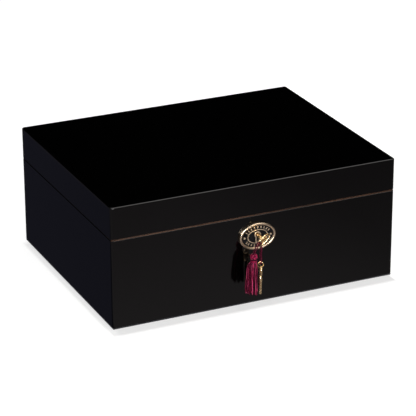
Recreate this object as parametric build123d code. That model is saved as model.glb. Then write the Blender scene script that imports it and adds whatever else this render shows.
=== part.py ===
from build123d import *
import math
import os

# A tabletop cigar chest in black lacquer with a hinged lid, lined with cedar.
# Millimetres. The origin is on the table under the middle of the chest, +X is to the
# right, -Y is the front with the lock, and +Z is up.

# Outside of the chest
width = 394.0
depth = 313.0
height = 163.0
seam_height = 120.0
seam_gap = 0.3
corner_radius = 4.0
top_edge_radius = 1.6
bottom_edge_radius = 1.0
rim_chamfer = 0.2

# Lacquered boards
wall = 14.0
top_panel_thickness = 12.0
bottom_panel_thickness = 8.0
rabbet_depth = 5.0
felt_thickness = 2.0
felt_inset = 0.7
lipping_thickness = 0.8
lipping_setback = 0.7

# Cedar lining
liner = 6.0
floor_liner_thickness = 5.0
lip_height = 8.0
lip_clearance = 0.4
lip_bevel = 1.2
lid_liner_thickness = 4.0
lid_liner_gap = 1.0

# Quadrant hinges, one on each side of the back
hinge_axis_offset = 1.5
open_angle = 95.0
leaf_thickness = 2.0
leaf_width = 10.0
leaf_margin = 2.0
leaf_length = 64.0
leaf_foot = 36.0
leaf_fit = 0.1
barrel_radius = 3.0
barrel_length = 27.0
lid_knuckle_length = 9.0
knuckle_gap = 0.15
knuckle_clearance = 0.35
hinge_pin_radius = 1.25
hinge_pin_clearance = 0.05
arm_headroom = 1.0
arm_width = 4.0
arm_thickness = 1.6
arm_slot_clearance = 0.3
arm_pin_radius = 1.1
arm_pin_length = 3.4
arm_pin_clearance = 0.3
arm_end_margin = 1.6
mortise_clearance = 0.5

# Countersunk screws
screw_head_radius = 2.2
screw_head_height = 1.4
screw_shank_radius = 1.1
screw_length = 10.0
screw_slot_width = 0.6
screw_slot_depth = 0.5
screw_clearance = 0.05

# Tray that lifts out, its runners, and the two partitions
tray_clearance = 1.5
tray_board = 6.0
tray_height = 34.0
tray_headroom = 11.0
tray_floor_thickness = 4.0
tray_rabbet = 3.0
notch_radius = 20.0
notch_centre_rise = 6.0
floor_slot_length = 40.0
floor_slot_width = 5.0
floor_slot_pitch = 32.0
floor_slot_rows = 3
floor_slots_in_row = 9
runner_height = 10.0
runner_thickness = 8.0
partition_thickness = 6.0
partition_clearance = 1.0
partition_foot_gap = 0.3
partition_drop = 4.0
partition_headroom = 2.0

# Lock set in the inside of the front board
key_drop = 26.0
case_width = 56.0
case_depth = 9.5
case_below_key = 14.0
case_wall = 1.2
case_fit = 0.1
faceplate_length = 72.0
faceplate_width = 9.2
faceplate_thickness = 2.0
faceplate_screw_spacing = 65.0
strike_length = 60.0
strike_thickness = 1.6
strike_screw_spacing = 50.0
lug_spacing = 24.0
lug_thickness = 2.5
lug_width = 5.6
lug_drop = 10.5
lug_slot_clearance = 0.6
eye_width = 3.6
eye_height = 4.4
eye_floor = 1.8
bolt_thickness = 2.5
bolt_travel = 6.0
bolt_clearance = 0.3
bolt_bar_rise = 6.0
bolt_bar_height = 7.0
bolt_stem = 3.0
finger_height = 3.0
finger_length = 4.0
guide_radius = 1.4
guide_slot_clearance = 0.3
guide_places = (-10.0, 4.0)
horn_width = 3.0
horn_clearance = 0.25
horn_floor = 2.2
horn_rise = 2.0
key_post_radius = 0.9
key_post_stand = 0.5

# Oval escutcheon
escutcheon_drop = 2.0
oval_half_width = 25.0
oval_half_height = 17.8
plate_thickness = 1.8
oval_rim_width = 3.0
oval_rim_height = 4.0
oval_rim_round = 1.2
inner_oval_half_width = 14.2
inner_oval_half_height = 9.4
inner_oval_band = 1.0
inner_oval_height = 3.1
enamel_thickness = 0.5
tick_width = 1.2
tick_length = 3.0
tick_height = 3.0
ticks_in_arc = 9
tick_arc = 116.0
stud_radius = 1.2
collar_band = 1.3
collar_height = 3.3
keyhole_radius = 3.15
keyhole_slot_top = 2.6
keyhole_slot_foot = 3.8
keyhole_drop = 9.0

# Keys. The same pattern is in the lock and on the cord.
key_length = 39.5
key_tilt = 40.0
key_stand_out = 27.0
shank_radius = 1.7
shank_bore = 1.0
shank_bore_depth = 13.0
collar_radius = 2.1
collar_thickness = 1.0
baluster_start = 11.0
baluster_length = 14.6
baluster_radius = 2.4
baluster_neck_radius = 1.3
bow_length = 12.5
bow_width = 19.0
bow_wire_radius = 1.2
bow_corner = 3.6
bow_ring_length = 3.4
bow_ring_width = 9.0
bow_ring_band = 0.9
bow_web_thickness = 1.4
bow_spoke_width = 1.1
bow_spoke_spread = 2.9
bit_reach = 7.0
bit_thickness = 2.0
bit_width = 4.0
bit_setback = 0.8
ward_width = 1.2
ward_depth = 2.4

# Cord, tassel and the spare key on its ring
cord_diameter = 1.6
cord_clearance = 0.3
tassel_x = -13.9
tassel_drop = 16.2
tassel_length = 55.8
head_height = 11.0
head_radius = 5.0
head_crown_radius = 2.9
neck_radius = 3.4
binding_radius = 4.2
binding_height = 2.2
skirt_shoulder_radius = 6.8
skirt_shoulder_drop = 13.0
skirt_foot_radius = 8.7
skirt_lobes = 16
skirt_lobe_depth = 0.7
skirt_shoulder_lean = 1.6
skirt_foot_lean = 2.9
spare_x = -4.6
spare_turn = -18.0
ring_radius = 3.8
ring_wire_radius = 0.75
ring_drop = 33.0
ring_clearance = 0.3

# Hygrometer and humidifier under the lid
hygrometer_y = -62.0
hygrometer_radius = 24.0
hygrometer_height = 8.5
bezel_width = 2.6
dial_depth = 5.2
dial_thickness = 0.6
dial_clearance = 0.1
lens_thickness = 1.2
lens_setback = 0.5
needle_length = 15.0
needle_tail = 5.0
needle_width = 1.2
needle_thickness = 0.5
needle_stand = 1.0
needle_hub_radius = 1.8
humidifier_y = 46.0
humidifier_length = 150.0
humidifier_width = 56.0
humidifier_height = 12.0
humidifier_wall = 1.2
humidifier_corner = 6.0
grille_thickness = 1.2
grille_slot_length = 11.0
grille_slot_width = 3.0
grille_slots_in_row = 9
grille_rows = 4
grille_pitch_x = 14.5
grille_pitch_y = 10.5
foam_clearance = 0.5
magnet_radius = 6.0
magnet_thickness = 2.0
magnet_spacing = 92.0

# Places that follow from the sizes
half_width = width / 2
half_depth = depth / 2
shell_bottom = felt_thickness
rim = seam_height - seam_gap / 2
lid_rim = seam_height + seam_gap / 2
wall_top = rim - lipping_thickness
lid_wall_bottom = lid_rim + lipping_thickness
lid_wall_top = height - top_panel_thickness
inner_x = half_width - wall
inner_y = half_depth - wall
floor_top = shell_bottom + bottom_panel_thickness + floor_liner_thickness
lip_top = rim + lip_height
lid_ceiling = lid_wall_top - lid_liner_thickness
hinge_y = half_depth + hinge_axis_offset
arm_radius = lid_wall_top - seam_height - arm_headroom
humidifier_top = lid_ceiling - magnet_thickness
humidifier_bottom = humidifier_top - humidifier_height
tray_top = humidifier_bottom - tray_headroom
tray_bottom = tray_top - tray_height
tray_half_x = inner_x - liner - tray_clearance
tray_half_y = inner_y - liner - tray_clearance
key_height = seam_height - key_drop
case_bottom = key_height - case_below_key
case_front = -inner_y - case_depth
bolt_y = -inner_y - case_depth / 2
key_travel = math.radians(90.0)
key_tip_y = -half_depth - key_stand_out + key_length
bow_centre = key_length - bow_length / 2
bow_end = bow_width / 2 - bow_wire_radius
wire_x = -bow_end * math.cos(math.radians(key_tilt))
wire_z = key_height - bow_end * math.sin(math.radians(key_tilt))
pendant_y = -half_depth - key_stand_out + bow_length / 2
head_top = key_height - tassel_drop
head_bottom = head_top - head_height
skirt_bottom = head_top - tassel_length
ring_height = key_height - ring_drop

parts = {}


def keep(name, *shapes):
    """Files the solids of one node under its name."""
    parts[name] = [solid for shape in shapes for solid in shape.solids()]


def block(x0, x1, y0, y1, z0, z1):
    """A box between two opposite corners."""
    centre = Pos((x0 + x1) / 2, (y0 + y1) / 2, (z0 + z1) / 2)
    return centre * Box(x1 - x0, y1 - y0, z1 - z0)


def rod(start, end, radius):
    """A round bar from one point to another."""
    start, end = Vector(*start), Vector(*end)
    along = Plane(origin=start, z_dir=end - start)
    round_bar = Cylinder(radius, (end - start).length, align=(Align.CENTER, Align.CENTER, Align.MIN))
    return along * round_bar


def both_sides(shape):
    """The shape and its mirror image across the middle of the chest."""
    return [shape, mirror(shape, about=Plane.YZ)]


def cut(shape, cutters):
    """The shape with every cutter taken away."""
    for cutter in cutters:
        shape = shape - cutter
    return shape


# Boards with mitred ends


def rounded_block(half_x, half_y, z0, z1, radius):
    """A block whose four upright edges are rounded."""
    outline = RectangleRounded(2 * half_x, 2 * half_y, radius)
    return Pos(0, 0, z0) * extrude(outline, z1 - z0)


def mitred_board(side, half_x, half_y, thickness, z0, z1):
    """One side of a four-sided frame, cut at 45 degrees at both ends."""
    outer = [(-half_x, -half_y), (half_x, -half_y), (half_x, half_y), (-half_x, half_y)]
    in_x, in_y = half_x - thickness, half_y - thickness
    inner = [(-in_x, -in_y), (in_x, -in_y), (in_x, in_y), (-in_x, in_y)]
    first = ("front", "right", "back", "left").index(side)
    second = (first + 1) % 4
    plan = Polyline(outer[first], outer[second], inner[second], inner[first], close=True)
    return Pos(0, 0, z0) * extrude(make_face(plan), z1 - z0)


def frame_boards(half_x, half_y, thickness, z0, z1):
    """The four mitred boards of a frame by side."""
    sides = ("front", "right", "back", "left")
    return {side: mitred_board(side, half_x, half_y, thickness, z0, z1) for side in sides}


# Countersunk screws and their holes


def screw_body(point, upward, grow):
    """A countersunk head and shank. The flat of the head is at the point."""
    direction = (0, 0, 1) if upward else (0, 0, -1)
    place = Plane(origin=point, z_dir=direction)
    low = (Align.CENTER, Align.CENTER, Align.MIN)
    head = Cone(screw_head_radius + grow, screw_shank_radius + grow, screw_head_height, align=low)
    shank = Cylinder(screw_shank_radius + grow, screw_length + grow, align=low)
    return place * (head + shank)


def screw(point, upward):
    """A slotted screw driven up or down from the point."""
    x, y, z = point
    deep = screw_slot_depth if upward else -screw_slot_depth
    low, high = sorted((z, z + deep))
    reach = screw_head_radius + 1
    slot = block(x - reach, x + reach, y - screw_slot_width / 2, y + screw_slot_width / 2, low, high)
    return screw_body(point, upward, 0) - slot


def screw_hole(point, upward):
    """The countersunk hole that a screw sits in."""
    return screw_body(point, upward, screw_clearance)


# Quadrant hinges. Everything is drawn for the right side and mirrored.

leaf_outer = half_width - leaf_margin
leaf_inner = leaf_outer - leaf_width
leaf_back = half_depth - leaf_margin
leaf_front = half_depth - leaf_length
foot_front = leaf_back - leaf_width
foot_inner = leaf_outer - leaf_foot
barrel_middle = leaf_outer - leaf_foot / 2
barrel_left = barrel_middle - barrel_length / 2
barrel_right = barrel_middle + barrel_length / 2
arm_x = (leaf_outer + leaf_inner) / 2
arm_y = hinge_y - arm_radius
half_open = open_angle / 2
pin_depth = seam_gap / 2 + leaf_thickness + arm_pin_radius + arm_pin_clearance
pin_angle = half_open + math.degrees(math.asin(pin_depth / arm_radius))
arm_end_angle = pin_angle + math.degrees((arm_pin_radius + arm_end_margin) / arm_radius)
leaf_screw_places = [
    (arm_x, leaf_front + leaf_width / 2),
    (arm_x, (arm_y + leaf_front) / 2),
    (barrel_middle, foot_front + leaf_width / 2),
    (foot_inner + leaf_width / 2, foot_front + leaf_width / 2),
]


def leaf_plan(z0, z1, grow):
    """The L-shaped plate of a leaf, with the tab that reaches back to the barrel."""
    long_leg = block(leaf_inner - grow, leaf_outer + grow, leaf_front - grow, leaf_back + grow, z0, z1)
    foot = block(foot_inner - grow, leaf_outer + grow, foot_front - grow, leaf_back + grow, z0, z1)
    tab = block(barrel_left - grow, barrel_right + grow, foot_front, hinge_y, z0, z1)
    return long_leg + foot + tab


def barrel_piece(x0, x1, radius):
    """A stretch of the hinge barrel or of the space round it."""
    return rod((x0, hinge_y, seam_height), (x1, hinge_y, seam_height), radius)


def ring_sector(inner, outer, from_angle, to_angle, thickness):
    """Part of a flat ring about the hinge axis. Angles go up from the seam, towards the front."""
    place = Plane(origin=(arm_x + thickness / 2, hinge_y, seam_height), x_dir=(0, -1, 0), z_dir=(-1, 0, 0))
    outside = CenterArc((0, 0), outer, from_angle, to_angle - from_angle)
    inside = CenterArc((0, 0), inner, from_angle, to_angle - from_angle)
    ends = [Line(outside @ 1, inside @ 1), Line(inside @ 0, outside @ 0)]
    return extrude(place * make_face([outside, inside, *ends]), thickness)


def arm_slot():
    """The slot in both leaves that the curved arm slides through."""
    half_x = arm_thickness / 2 + arm_slot_clearance
    half_y = arm_width / 2 + arm_slot_clearance
    reach = leaf_thickness + seam_gap
    low, high = seam_height - reach, seam_height + reach
    return block(arm_x - half_x, arm_x + half_x, arm_y - half_y, arm_y + half_y, low, high)


def pin_hole():
    """The hole for the pin along the whole barrel."""
    return barrel_piece(barrel_left - 1, barrel_right + 1, hinge_pin_radius + hinge_pin_clearance)


lid_knuckle = (barrel_middle - lid_knuckle_length / 2, barrel_middle + lid_knuckle_length / 2)


def box_leaf():
    """The lower leaf with the two outer knuckles."""
    plate = leaf_plan(rim - leaf_thickness, rim, 0) + barrel_piece(barrel_left, barrel_right, barrel_radius)
    middle = barrel_piece(
        lid_knuckle[0] - knuckle_gap, lid_knuckle[1] + knuckle_gap, barrel_radius + knuckle_clearance
    )
    holes = [screw_hole((x, y, rim), False) for x, y in leaf_screw_places]
    return cut(plate, [middle, pin_hole(), arm_slot(), *holes])


def lid_leaf():
    """The upper leaf with the middle knuckle."""
    plate = leaf_plan(lid_rim, lid_rim + leaf_thickness, 0)
    knuckle_space = barrel_radius + knuckle_clearance
    outer = [
        barrel_piece(barrel_left - knuckle_gap, lid_knuckle[0], knuckle_space),
        barrel_piece(lid_knuckle[1], barrel_right + knuckle_gap, knuckle_space),
    ]
    plate = cut(plate, outer) + barrel_piece(*lid_knuckle, barrel_radius)
    holes = [screw_hole((x, y, lid_rim), True) for x, y in leaf_screw_places]
    return cut(plate, [pin_hole(), arm_slot(), *holes])


def quadrant_arm():
    """The curved stay with a stop pin near each end."""
    half = arm_width / 2
    arm = ring_sector(arm_radius - half, arm_radius + half, -arm_end_angle, arm_end_angle, arm_thickness)
    for angle in (-pin_angle, pin_angle):
        y = hinge_y - arm_radius * math.cos(math.radians(angle))
        z = seam_height + arm_radius * math.sin(math.radians(angle))
        arm += rod((arm_x - arm_pin_length / 2, y, z), (arm_x + arm_pin_length / 2, y, z), arm_pin_radius)
    return arm


def arm_mortise(from_angle, to_angle):
    """The curved slot in the wood that hides the arm when the lid is shut."""
    half = arm_width / 2 + mortise_clearance
    return ring_sector(
        arm_radius - half, arm_radius + half, from_angle, to_angle, arm_pin_length + 2 * mortise_clearance
    )


def hinge_cutters(below):
    """What the right hinge takes out of the chest or of the lid."""
    space = barrel_piece(
        barrel_left - knuckle_clearance, barrel_right + knuckle_clearance, barrel_radius + knuckle_clearance
    )
    slack = arm_end_angle + math.degrees(2 * mortise_clearance / arm_radius)
    if below:
        pocket = leaf_plan(rim - leaf_thickness, rim + 1, leaf_fit)
        mortise = arm_mortise(-slack, 0)
        z, upward = rim, False
    else:
        pocket = leaf_plan(lid_rim - 1, lid_rim + leaf_thickness, leaf_fit)
        mortise = arm_mortise(0, slack)
        z, upward = lid_rim, True
    holes = [screw_hole((x, y, z), upward) for x, y in leaf_screw_places]
    return [space, pocket, mortise, *holes]


def hinge_parts():
    """Files the pieces of both hinges."""
    pieces = {
        "hinge_box_leaf": box_leaf(),
        "hinge_lid_leaf": lid_leaf(),
        "hinge_pin": barrel_piece(barrel_left, barrel_right, hinge_pin_radius),
        "quadrant_arm": quadrant_arm(),
    }
    for name, piece in pieces.items():
        right, left = both_sides(piece)
        keep("right_" + name, right)
        keep("left_" + name, left)
    low = [screw((x, y, rim), False) for x, y in leaf_screw_places]
    high = [screw((x, y, lid_rim), True) for x, y in leaf_screw_places]
    keep("hinge_box_screws", *[half for one in low for half in both_sides(one)])
    keep("hinge_lid_screws", *[half for one in high for half in both_sides(one)])


# Lock and strike

plate_half_width = faceplate_width / 2
lug_bottom = lid_rim - lug_drop
finger_bottom = lug_bottom + eye_floor + (eye_height - finger_height) / 2
faceplate_screws = [(x, bolt_y) for x in (-faceplate_screw_spacing / 2, faceplate_screw_spacing / 2)]
strike_screws = [(x, bolt_y) for x in (-strike_screw_spacing / 2, strike_screw_spacing / 2)]
key_from_locked = math.radians(90.0 - key_tilt)
bolt_from_locked = bolt_travel * key_from_locked / key_travel


def keyhole(y0, y1, grow):
    """A cutter with the outline of a keyhole: a round top and a foot that spreads."""
    top = keyhole_slot_top / 2 + grow
    foot = keyhole_slot_foot / 2 + grow
    drop = keyhole_drop + grow
    place = Plane(origin=(0, y1, key_height), x_dir=(1, 0, 0), z_dir=(0, -1, 0))
    slot = make_face(Polyline((-top, 0), (top, 0), (foot, -drop), (-foot, -drop), close=True))
    return extrude(place * (Circle(keyhole_radius + grow) + slot), y1 - y0)


def plate_outline(length, z0, z1, grow):
    """A long plate with round ends, centred on the bolt."""
    outline = SlotOverall(length + 2 * grow, faceplate_width + 2 * grow)
    return Pos(0, bolt_y, z0) * extrude(outline, z1 - z0)


def lock_pocket():
    """What the lock takes out of the front board."""
    half = case_width / 2 + case_fit
    pocket = block(-half, half, case_front - case_fit, -inner_y + 1, case_bottom - case_fit, rim + 1)
    seat = plate_outline(faceplate_length, rim - faceplate_thickness, rim + 1, leaf_fit)
    holes = [screw_hole((x, y, rim), False) for x, y in faceplate_screws]
    return [pocket, seat, keyhole(-half_depth - 1, case_front + 1, 0), *holes]


def lock_case():
    """A pan that is open at the back and at the top."""
    half = case_width / 2
    top = rim - faceplate_thickness
    outside = block(-half, half, case_front, -inner_y - case_wall, case_bottom, top)
    in_half = half - case_wall
    inside = block(-in_half, in_half, case_front + case_wall, -inner_y, case_bottom + case_wall, top + 1)
    shell = outside - inside
    for x in guide_places:
        front, back = case_front + case_wall, -inner_y - case_wall
        shell += rod((x, front - case_wall / 2, guide_height), (x, back, guide_height), guide_radius)
    return shell - keyhole(case_front - 1, case_front + case_wall + 1, 0)


guide_height = key_height + bolt_bar_rise + bolt_bar_height / 2


def lock_cover():
    """The plate that closes the case, with the post that the hollow key turns on."""
    half = case_width / 2
    plate = block(-half, half, -inner_y - case_wall, -inner_y, case_bottom, rim - faceplate_thickness)
    post_end = -half_depth + key_post_stand
    return plate + rod((0, -inner_y, key_height), (0, post_end, key_height), key_post_radius)


def faceplate():
    """The flush strip in the rim, with a slot for each lug."""
    plate = plate_outline(faceplate_length, rim - faceplate_thickness, rim, 0)
    half_x = lug_thickness / 2 + lug_slot_clearance
    half_y = lug_width / 2 + lug_slot_clearance
    low, high = rim - faceplate_thickness - 1, rim + 1
    slots = [
        block(x - half_x, x + half_x, bolt_y - half_y, bolt_y + half_y, low, high)
        for x in (-lug_spacing / 2, lug_spacing / 2)
    ]
    holes = [screw_hole((x, y, rim), False) for x, y in faceplate_screws]
    return cut(plate, slots + holes)


def strike():
    """The plate in the lid with two eyes that the bolt catches."""
    plate = plate_outline(strike_length, lid_rim, lid_rim + strike_thickness, 0)
    for x in (-lug_spacing / 2, lug_spacing / 2):
        left, right = x - lug_thickness / 2, x + lug_thickness / 2
        lug = block(left, right, bolt_y - lug_width / 2, bolt_y + lug_width / 2, lug_bottom, lid_rim + 0.5)
        low, high = lug_bottom + eye_floor, lug_bottom + eye_floor + eye_height
        eye = block(left - 1, right + 1, bolt_y - eye_width / 2, bolt_y + eye_width / 2, low, high)
        plate += lug - eye
    return cut(plate, [screw_hole((x, y, lid_rim), True) for x, y in strike_screws])


def strike_cutters():
    """What the strike takes out of the front of the lid."""
    seat = plate_outline(strike_length, lid_rim - 1, lid_rim + strike_thickness, leaf_fit)
    return [seat, *[screw_hole((x, y, lid_rim), True) for x, y in strike_screws]]


def bit_lead():
    """How far the bit runs ahead of the bolt, in the bolt's own frame."""
    ahead = []
    for step in range(91):
        turn = key_travel * step / 90
        bit_face = bit_reach * math.sin(turn) + bit_thickness / 2 * math.cos(turn)
        ahead.append(bit_face - bolt_travel * turn / key_travel)
    return max(ahead)


def bolt():
    """The sliding bolt: a bar with two fingers, and a fork below that the bit pushes."""
    y0, y1 = bolt_y - bolt_thickness / 2, bolt_y + bolt_thickness / 2
    bar_bottom = key_height + bolt_bar_rise
    finger_top = finger_bottom + finger_height
    finger_ends = [x - lug_thickness / 2 - bolt_clearance for x in (-lug_spacing / 2, lug_spacing / 2)]
    stem_left = finger_ends[0] - finger_length - bolt_stem
    stem_right = finger_ends[1] - finger_length
    body = block(stem_left, stem_right, y0, y1, bar_bottom, bar_bottom + bolt_bar_height)
    for end in finger_ends:
        root = end - finger_length
        body += block(root - bolt_stem, root, y0, y1, bar_bottom, finger_top)
        body += block(root - bolt_stem, end, y0, y1, finger_bottom, finger_top)
    horn_face = -bolt_from_locked - bit_lead() - horn_clearance
    far_face = -bolt_from_locked + bit_thickness / 2 + horn_clearance
    fork_top = key_height - bit_reach - horn_clearance
    fork_bottom = fork_top - horn_floor
    body += block(horn_face - horn_width, horn_face, y0, y1, fork_bottom, bar_bottom + 1)
    body += block(horn_face - horn_width, far_face + horn_width, y0, y1, fork_bottom, fork_top)
    body += block(far_face, far_face + horn_width, y0, y1, fork_bottom, fork_top + horn_rise)
    reach = guide_radius + guide_slot_clearance
    for x in guide_places:
        left = x - bolt_from_locked - reach
        right = x + bolt_travel - bolt_from_locked + reach
        body -= block(left, right, y0 - 1, y1 + 1, guide_height - reach, guide_height + reach)
    return body


def lock_parts():
    """Files the lock and the strike."""
    keep("lock_case", lock_case())
    keep("lock_cover", lock_cover())
    keep("lock_faceplate", faceplate())
    keep("lock_bolt", bolt())
    keep("strike_plate", strike())
    keep("faceplate_screws", *[screw((x, y, rim), False) for x, y in faceplate_screws])
    keep("strike_screws", *[screw((x, y, lid_rim), True) for x, y in strike_screws])


# Escutcheon

oval_origin = (0, -half_depth, key_height - escutcheon_drop)
oval_place = Plane(origin=oval_origin, x_dir=(1, 0, 0), z_dir=(0, -1, 0))


def oval_band(half_x, half_z, band, thickness):
    """An oval ring that stands on the face of the plate."""
    return extrude(Ellipse(half_x, half_z) - Ellipse(half_x - band, half_z - band), thickness)


def oval_ticks():
    """Short bars across the upper and the lower arc, and a stud at each end of the oval."""
    mid_x = (oval_half_width - oval_rim_width + inner_oval_half_width) / 2
    mid_y = (oval_half_height - oval_rim_width + inner_oval_half_height) / 2
    ticks = []
    for middle in (90.0, 270.0):
        for step in range(ticks_in_arc):
            angle = math.radians(middle + tick_arc * (step / (ticks_in_arc - 1) - 0.5))
            x, y = mid_x * math.cos(angle), mid_y * math.sin(angle)
            lean = math.degrees(math.atan2(y / mid_y**2, x / mid_x**2))
            ticks.append(Pos(x, y, 0) * Rot(0, 0, lean) * Rectangle(tick_length, tick_width))
    studs = [Pos(x, 0, 0) * Circle(stud_radius) for x in (-mid_x, mid_x)]
    return [extrude(shape, tick_height) for shape in ticks + studs]


def escutcheon_parts():
    """Files the oval plate and the black enamel between its raised lines."""
    plate = extrude(Ellipse(oval_half_width, oval_half_height), plate_thickness)
    rim_band = oval_band(oval_half_width, oval_half_height, oval_rim_width, oval_rim_height)
    top_edges = rim_band.faces().sort_by(Axis.Z)[-1].edges()
    plate += fillet(top_edges, oval_rim_round)
    plate += oval_band(inner_oval_half_width, inner_oval_half_height, inner_oval_band, inner_oval_height)
    for tick in oval_ticks():
        plate += tick
    field = extrude(
        Ellipse(oval_half_width - oval_rim_width, oval_half_height - oval_rim_width),
        plate_thickness + enamel_thickness,
    )
    plate, field = oval_place * plate, oval_place * field
    outside = -half_depth - collar_height
    plate += keyhole(outside, -half_depth, collar_band)
    hole = keyhole(outside - 1, -half_depth + 1, 0)
    plate -= hole
    keep("escutcheon", plate)
    keep("escutcheon_enamel", field - hole - plate)


# Keys


def bow():
    """The handle of a key: a round-wire frame and a pierced web inside it."""
    long_side, short_side = bow_width - 2 * bow_wire_radius, bow_length - 2 * bow_wire_radius
    flat = Plane(origin=(0, 0, bow_centre), x_dir=(1, 0, 0), z_dir=(0, -1, 0))
    path = flat * RectangleRounded(long_side, short_side, bow_corner).wire()
    start = path @ 0
    section = Plane(origin=start, z_dir=path % 0) * Circle(bow_wire_radius)
    frame = sweep(section, path=path)
    oval = Ellipse(bow_ring_width / 2, bow_ring_length / 2)
    oval -= Ellipse(bow_ring_width / 2 - bow_ring_band, bow_ring_length / 2 - bow_ring_band)
    for x in (-bow_spoke_spread, bow_spoke_spread):
        for way in (-1, 1):
            reach = short_side / 2 - bow_ring_length / 2 + bow_ring_band
            oval += Pos(x, way * (short_side / 2 - reach / 2), 0) * Rectangle(bow_spoke_width, reach)
    web = extrude(flat * oval, bow_web_thickness / 2, both=True)
    return frame + web


def baluster():
    """The turned swelling of the stem between its two collars, fullest towards the bow."""
    z0 = baluster_start + collar_thickness
    z1 = baluster_start + baluster_length - collar_thickness
    z_full = z0 + (z1 - z0) * 0.64
    low_mid = (shank_radius + (baluster_radius - shank_radius) * 0.62, (z0 + z_full) / 2)
    high_mid = (baluster_neck_radius + (baluster_radius - baluster_neck_radius) * 0.66, (z_full + z1) / 2)
    outline = [
        Line((0, z0), (shank_radius, z0)),
        ThreePointArc((shank_radius, z0), low_mid, (baluster_radius, z_full)),
        ThreePointArc((baluster_radius, z_full), high_mid, (baluster_neck_radius, z1)),
        Line((baluster_neck_radius, z1), (0, z1)),
        Line((0, z1), (0, z0)),
    ]
    return revolve(Plane.XZ * make_face(outline), Axis.Z)


def key_solid():
    """A hollow-shanked key. Its tip is at the origin and its bow is up the Z axis."""
    low = (Align.CENTER, Align.CENTER, Align.MIN)
    shank_top = key_length - bow_length + bow_wire_radius
    body = Cylinder(shank_radius, shank_top, align=low)
    baluster_end = baluster_start + baluster_length
    for z in (baluster_start, baluster_end - collar_thickness):
        body += Pos(0, 0, z) * Cylinder(collar_radius, collar_thickness, align=low)
    body = body - Pos(0, 0, baluster_start + collar_thickness) * Cylinder(
        collar_radius + 1, baluster_length - 2 * collar_thickness, align=low
    ) + baluster()
    half = bit_thickness / 2
    body += block(-bit_reach, 0, -half, half, bit_setback, bit_setback + bit_width)
    ward_low = bit_setback + (bit_width - ward_width) / 2
    ward_end = -bit_reach + ward_depth
    ward = block(-bit_reach - 1, ward_end, -half - 1, half + 1, ward_low, ward_low + ward_width)
    body = body - ward + bow()
    return body - Cylinder(shank_bore, shank_bore_depth, align=low)


def lock_key():
    """The key in the lock, turned part of the way."""
    lean = math.radians(key_tilt)
    place = Plane(
        origin=(0, key_tip_y, key_height), x_dir=(math.cos(lean), 0, math.sin(lean)), z_dir=(0, -1, 0)
    )
    return place * key_solid()


# Cord, tassel and spare key

ring_top = ring_height + ring_radius
ring_bottom_clear = ring_height - ring_radius + ring_wire_radius + ring_clearance
spare_tip = ring_bottom_clear + 2 * bow_wire_radius - key_length
strand_offset = ring_wire_radius + cord_diameter / 2 + cord_clearance
loop_offset = bow_wire_radius + cord_diameter / 2 + cord_clearance


def cord_route():
    """The points of the cord: from the tassel over the bow, round the ring and back."""
    front = [
        (tassel_x, head_top),
        (tassel_x, head_top + 2.4),
        (wire_x - loop_offset - 0.8, wire_z - 3.2),
        (wire_x - loop_offset, wire_z + loop_offset),
        (wire_x + loop_offset, wire_z + loop_offset),
        (wire_x + loop_offset, wire_z - 1.6),
        (spare_x, ring_top - strand_offset),
    ]
    out = [(x, pendant_y - strand_offset, z) for x, z in front]
    home = [(x, pendant_y + strand_offset, z) for x, z in reversed(front)]
    return out + home


def bend_radii(points):
    """The radius at each inner point: 0.45 of the shorter run over the tangent of half the turn."""
    radii = []
    for before, at, after in zip(points, points[1:], points[2:]):
        into, away = Vector(*at) - Vector(*before), Vector(*after) - Vector(*at)
        turn = math.radians(into.get_angle(away))
        radii.append(0.45 * min(into.length, away.length) / math.tan(turn / 2))
    return radii


def key_cord():
    """The silk cord as one round tube."""
    points = cord_route()
    radii = bend_radii(points)
    print("cord radii", [round(radius, 2) for radius in radii])
    path = FilletPolyline(*points, radius=radii)
    section = Plane(origin=path @ 0, z_dir=path % 0) * Circle(cord_diameter / 2)
    tube = sweep(section, path=path)
    expected = math.pi * (cord_diameter / 2) ** 2 * path.length
    print("cord length", round(path.length, 1))
    print("cord volume", round(tube.volume, 1), "section times length", round(expected, 1))
    return tube


def tassel_head():
    """The knob and the binding below it, turned about the tassel's axis."""
    equator = head_top - head_height * 0.42
    neck = head_bottom + binding_height
    outline = [
        Line((0, head_top), (head_crown_radius, head_top)),
        ThreePointArc((head_crown_radius, head_top), (head_radius, equator), (neck_radius, neck)),
        Line((neck_radius, neck), (binding_radius, neck)),
        Line((binding_radius, neck), (binding_radius, head_bottom)),
        Line((binding_radius, head_bottom), (0, head_bottom)),
        Line((0, head_bottom), (0, head_top)),
    ]
    face = Plane.XZ * make_face(outline)
    return Pos(tassel_x, pendant_y, 0) * revolve(face, Axis.Z)


def lobed_outline(radius, lean, z):
    """A closed outline of small outward arcs, one for each bundle of threads."""
    arcs = []
    for lobe in range(skirt_lobes):
        start, middle, end = (2 * math.pi * (lobe + share) / skirt_lobes for share in (0, 0.5, 1))
        valley = radius - skirt_lobe_depth
        arcs.append(
            ThreePointArc(
                (valley * math.cos(start), valley * math.sin(start)),
                (radius * math.cos(middle), radius * math.sin(middle)),
                (valley * math.cos(end), valley * math.sin(end)),
            )
        )
    return Pos(tassel_x - lean, pendant_y, z) * make_face(arcs)


def tassel_skirt():
    """The fringe, which swells below the binding and leans a little to the left at the foot."""
    shoulder = head_bottom - skirt_shoulder_drop
    sections = [
        lobed_outline(binding_radius, 0, head_bottom),
        lobed_outline(skirt_shoulder_radius, skirt_shoulder_lean, shoulder),
        lobed_outline(skirt_foot_radius, skirt_foot_lean, skirt_bottom),
    ]
    return loft(sections, ruled=True)


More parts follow.
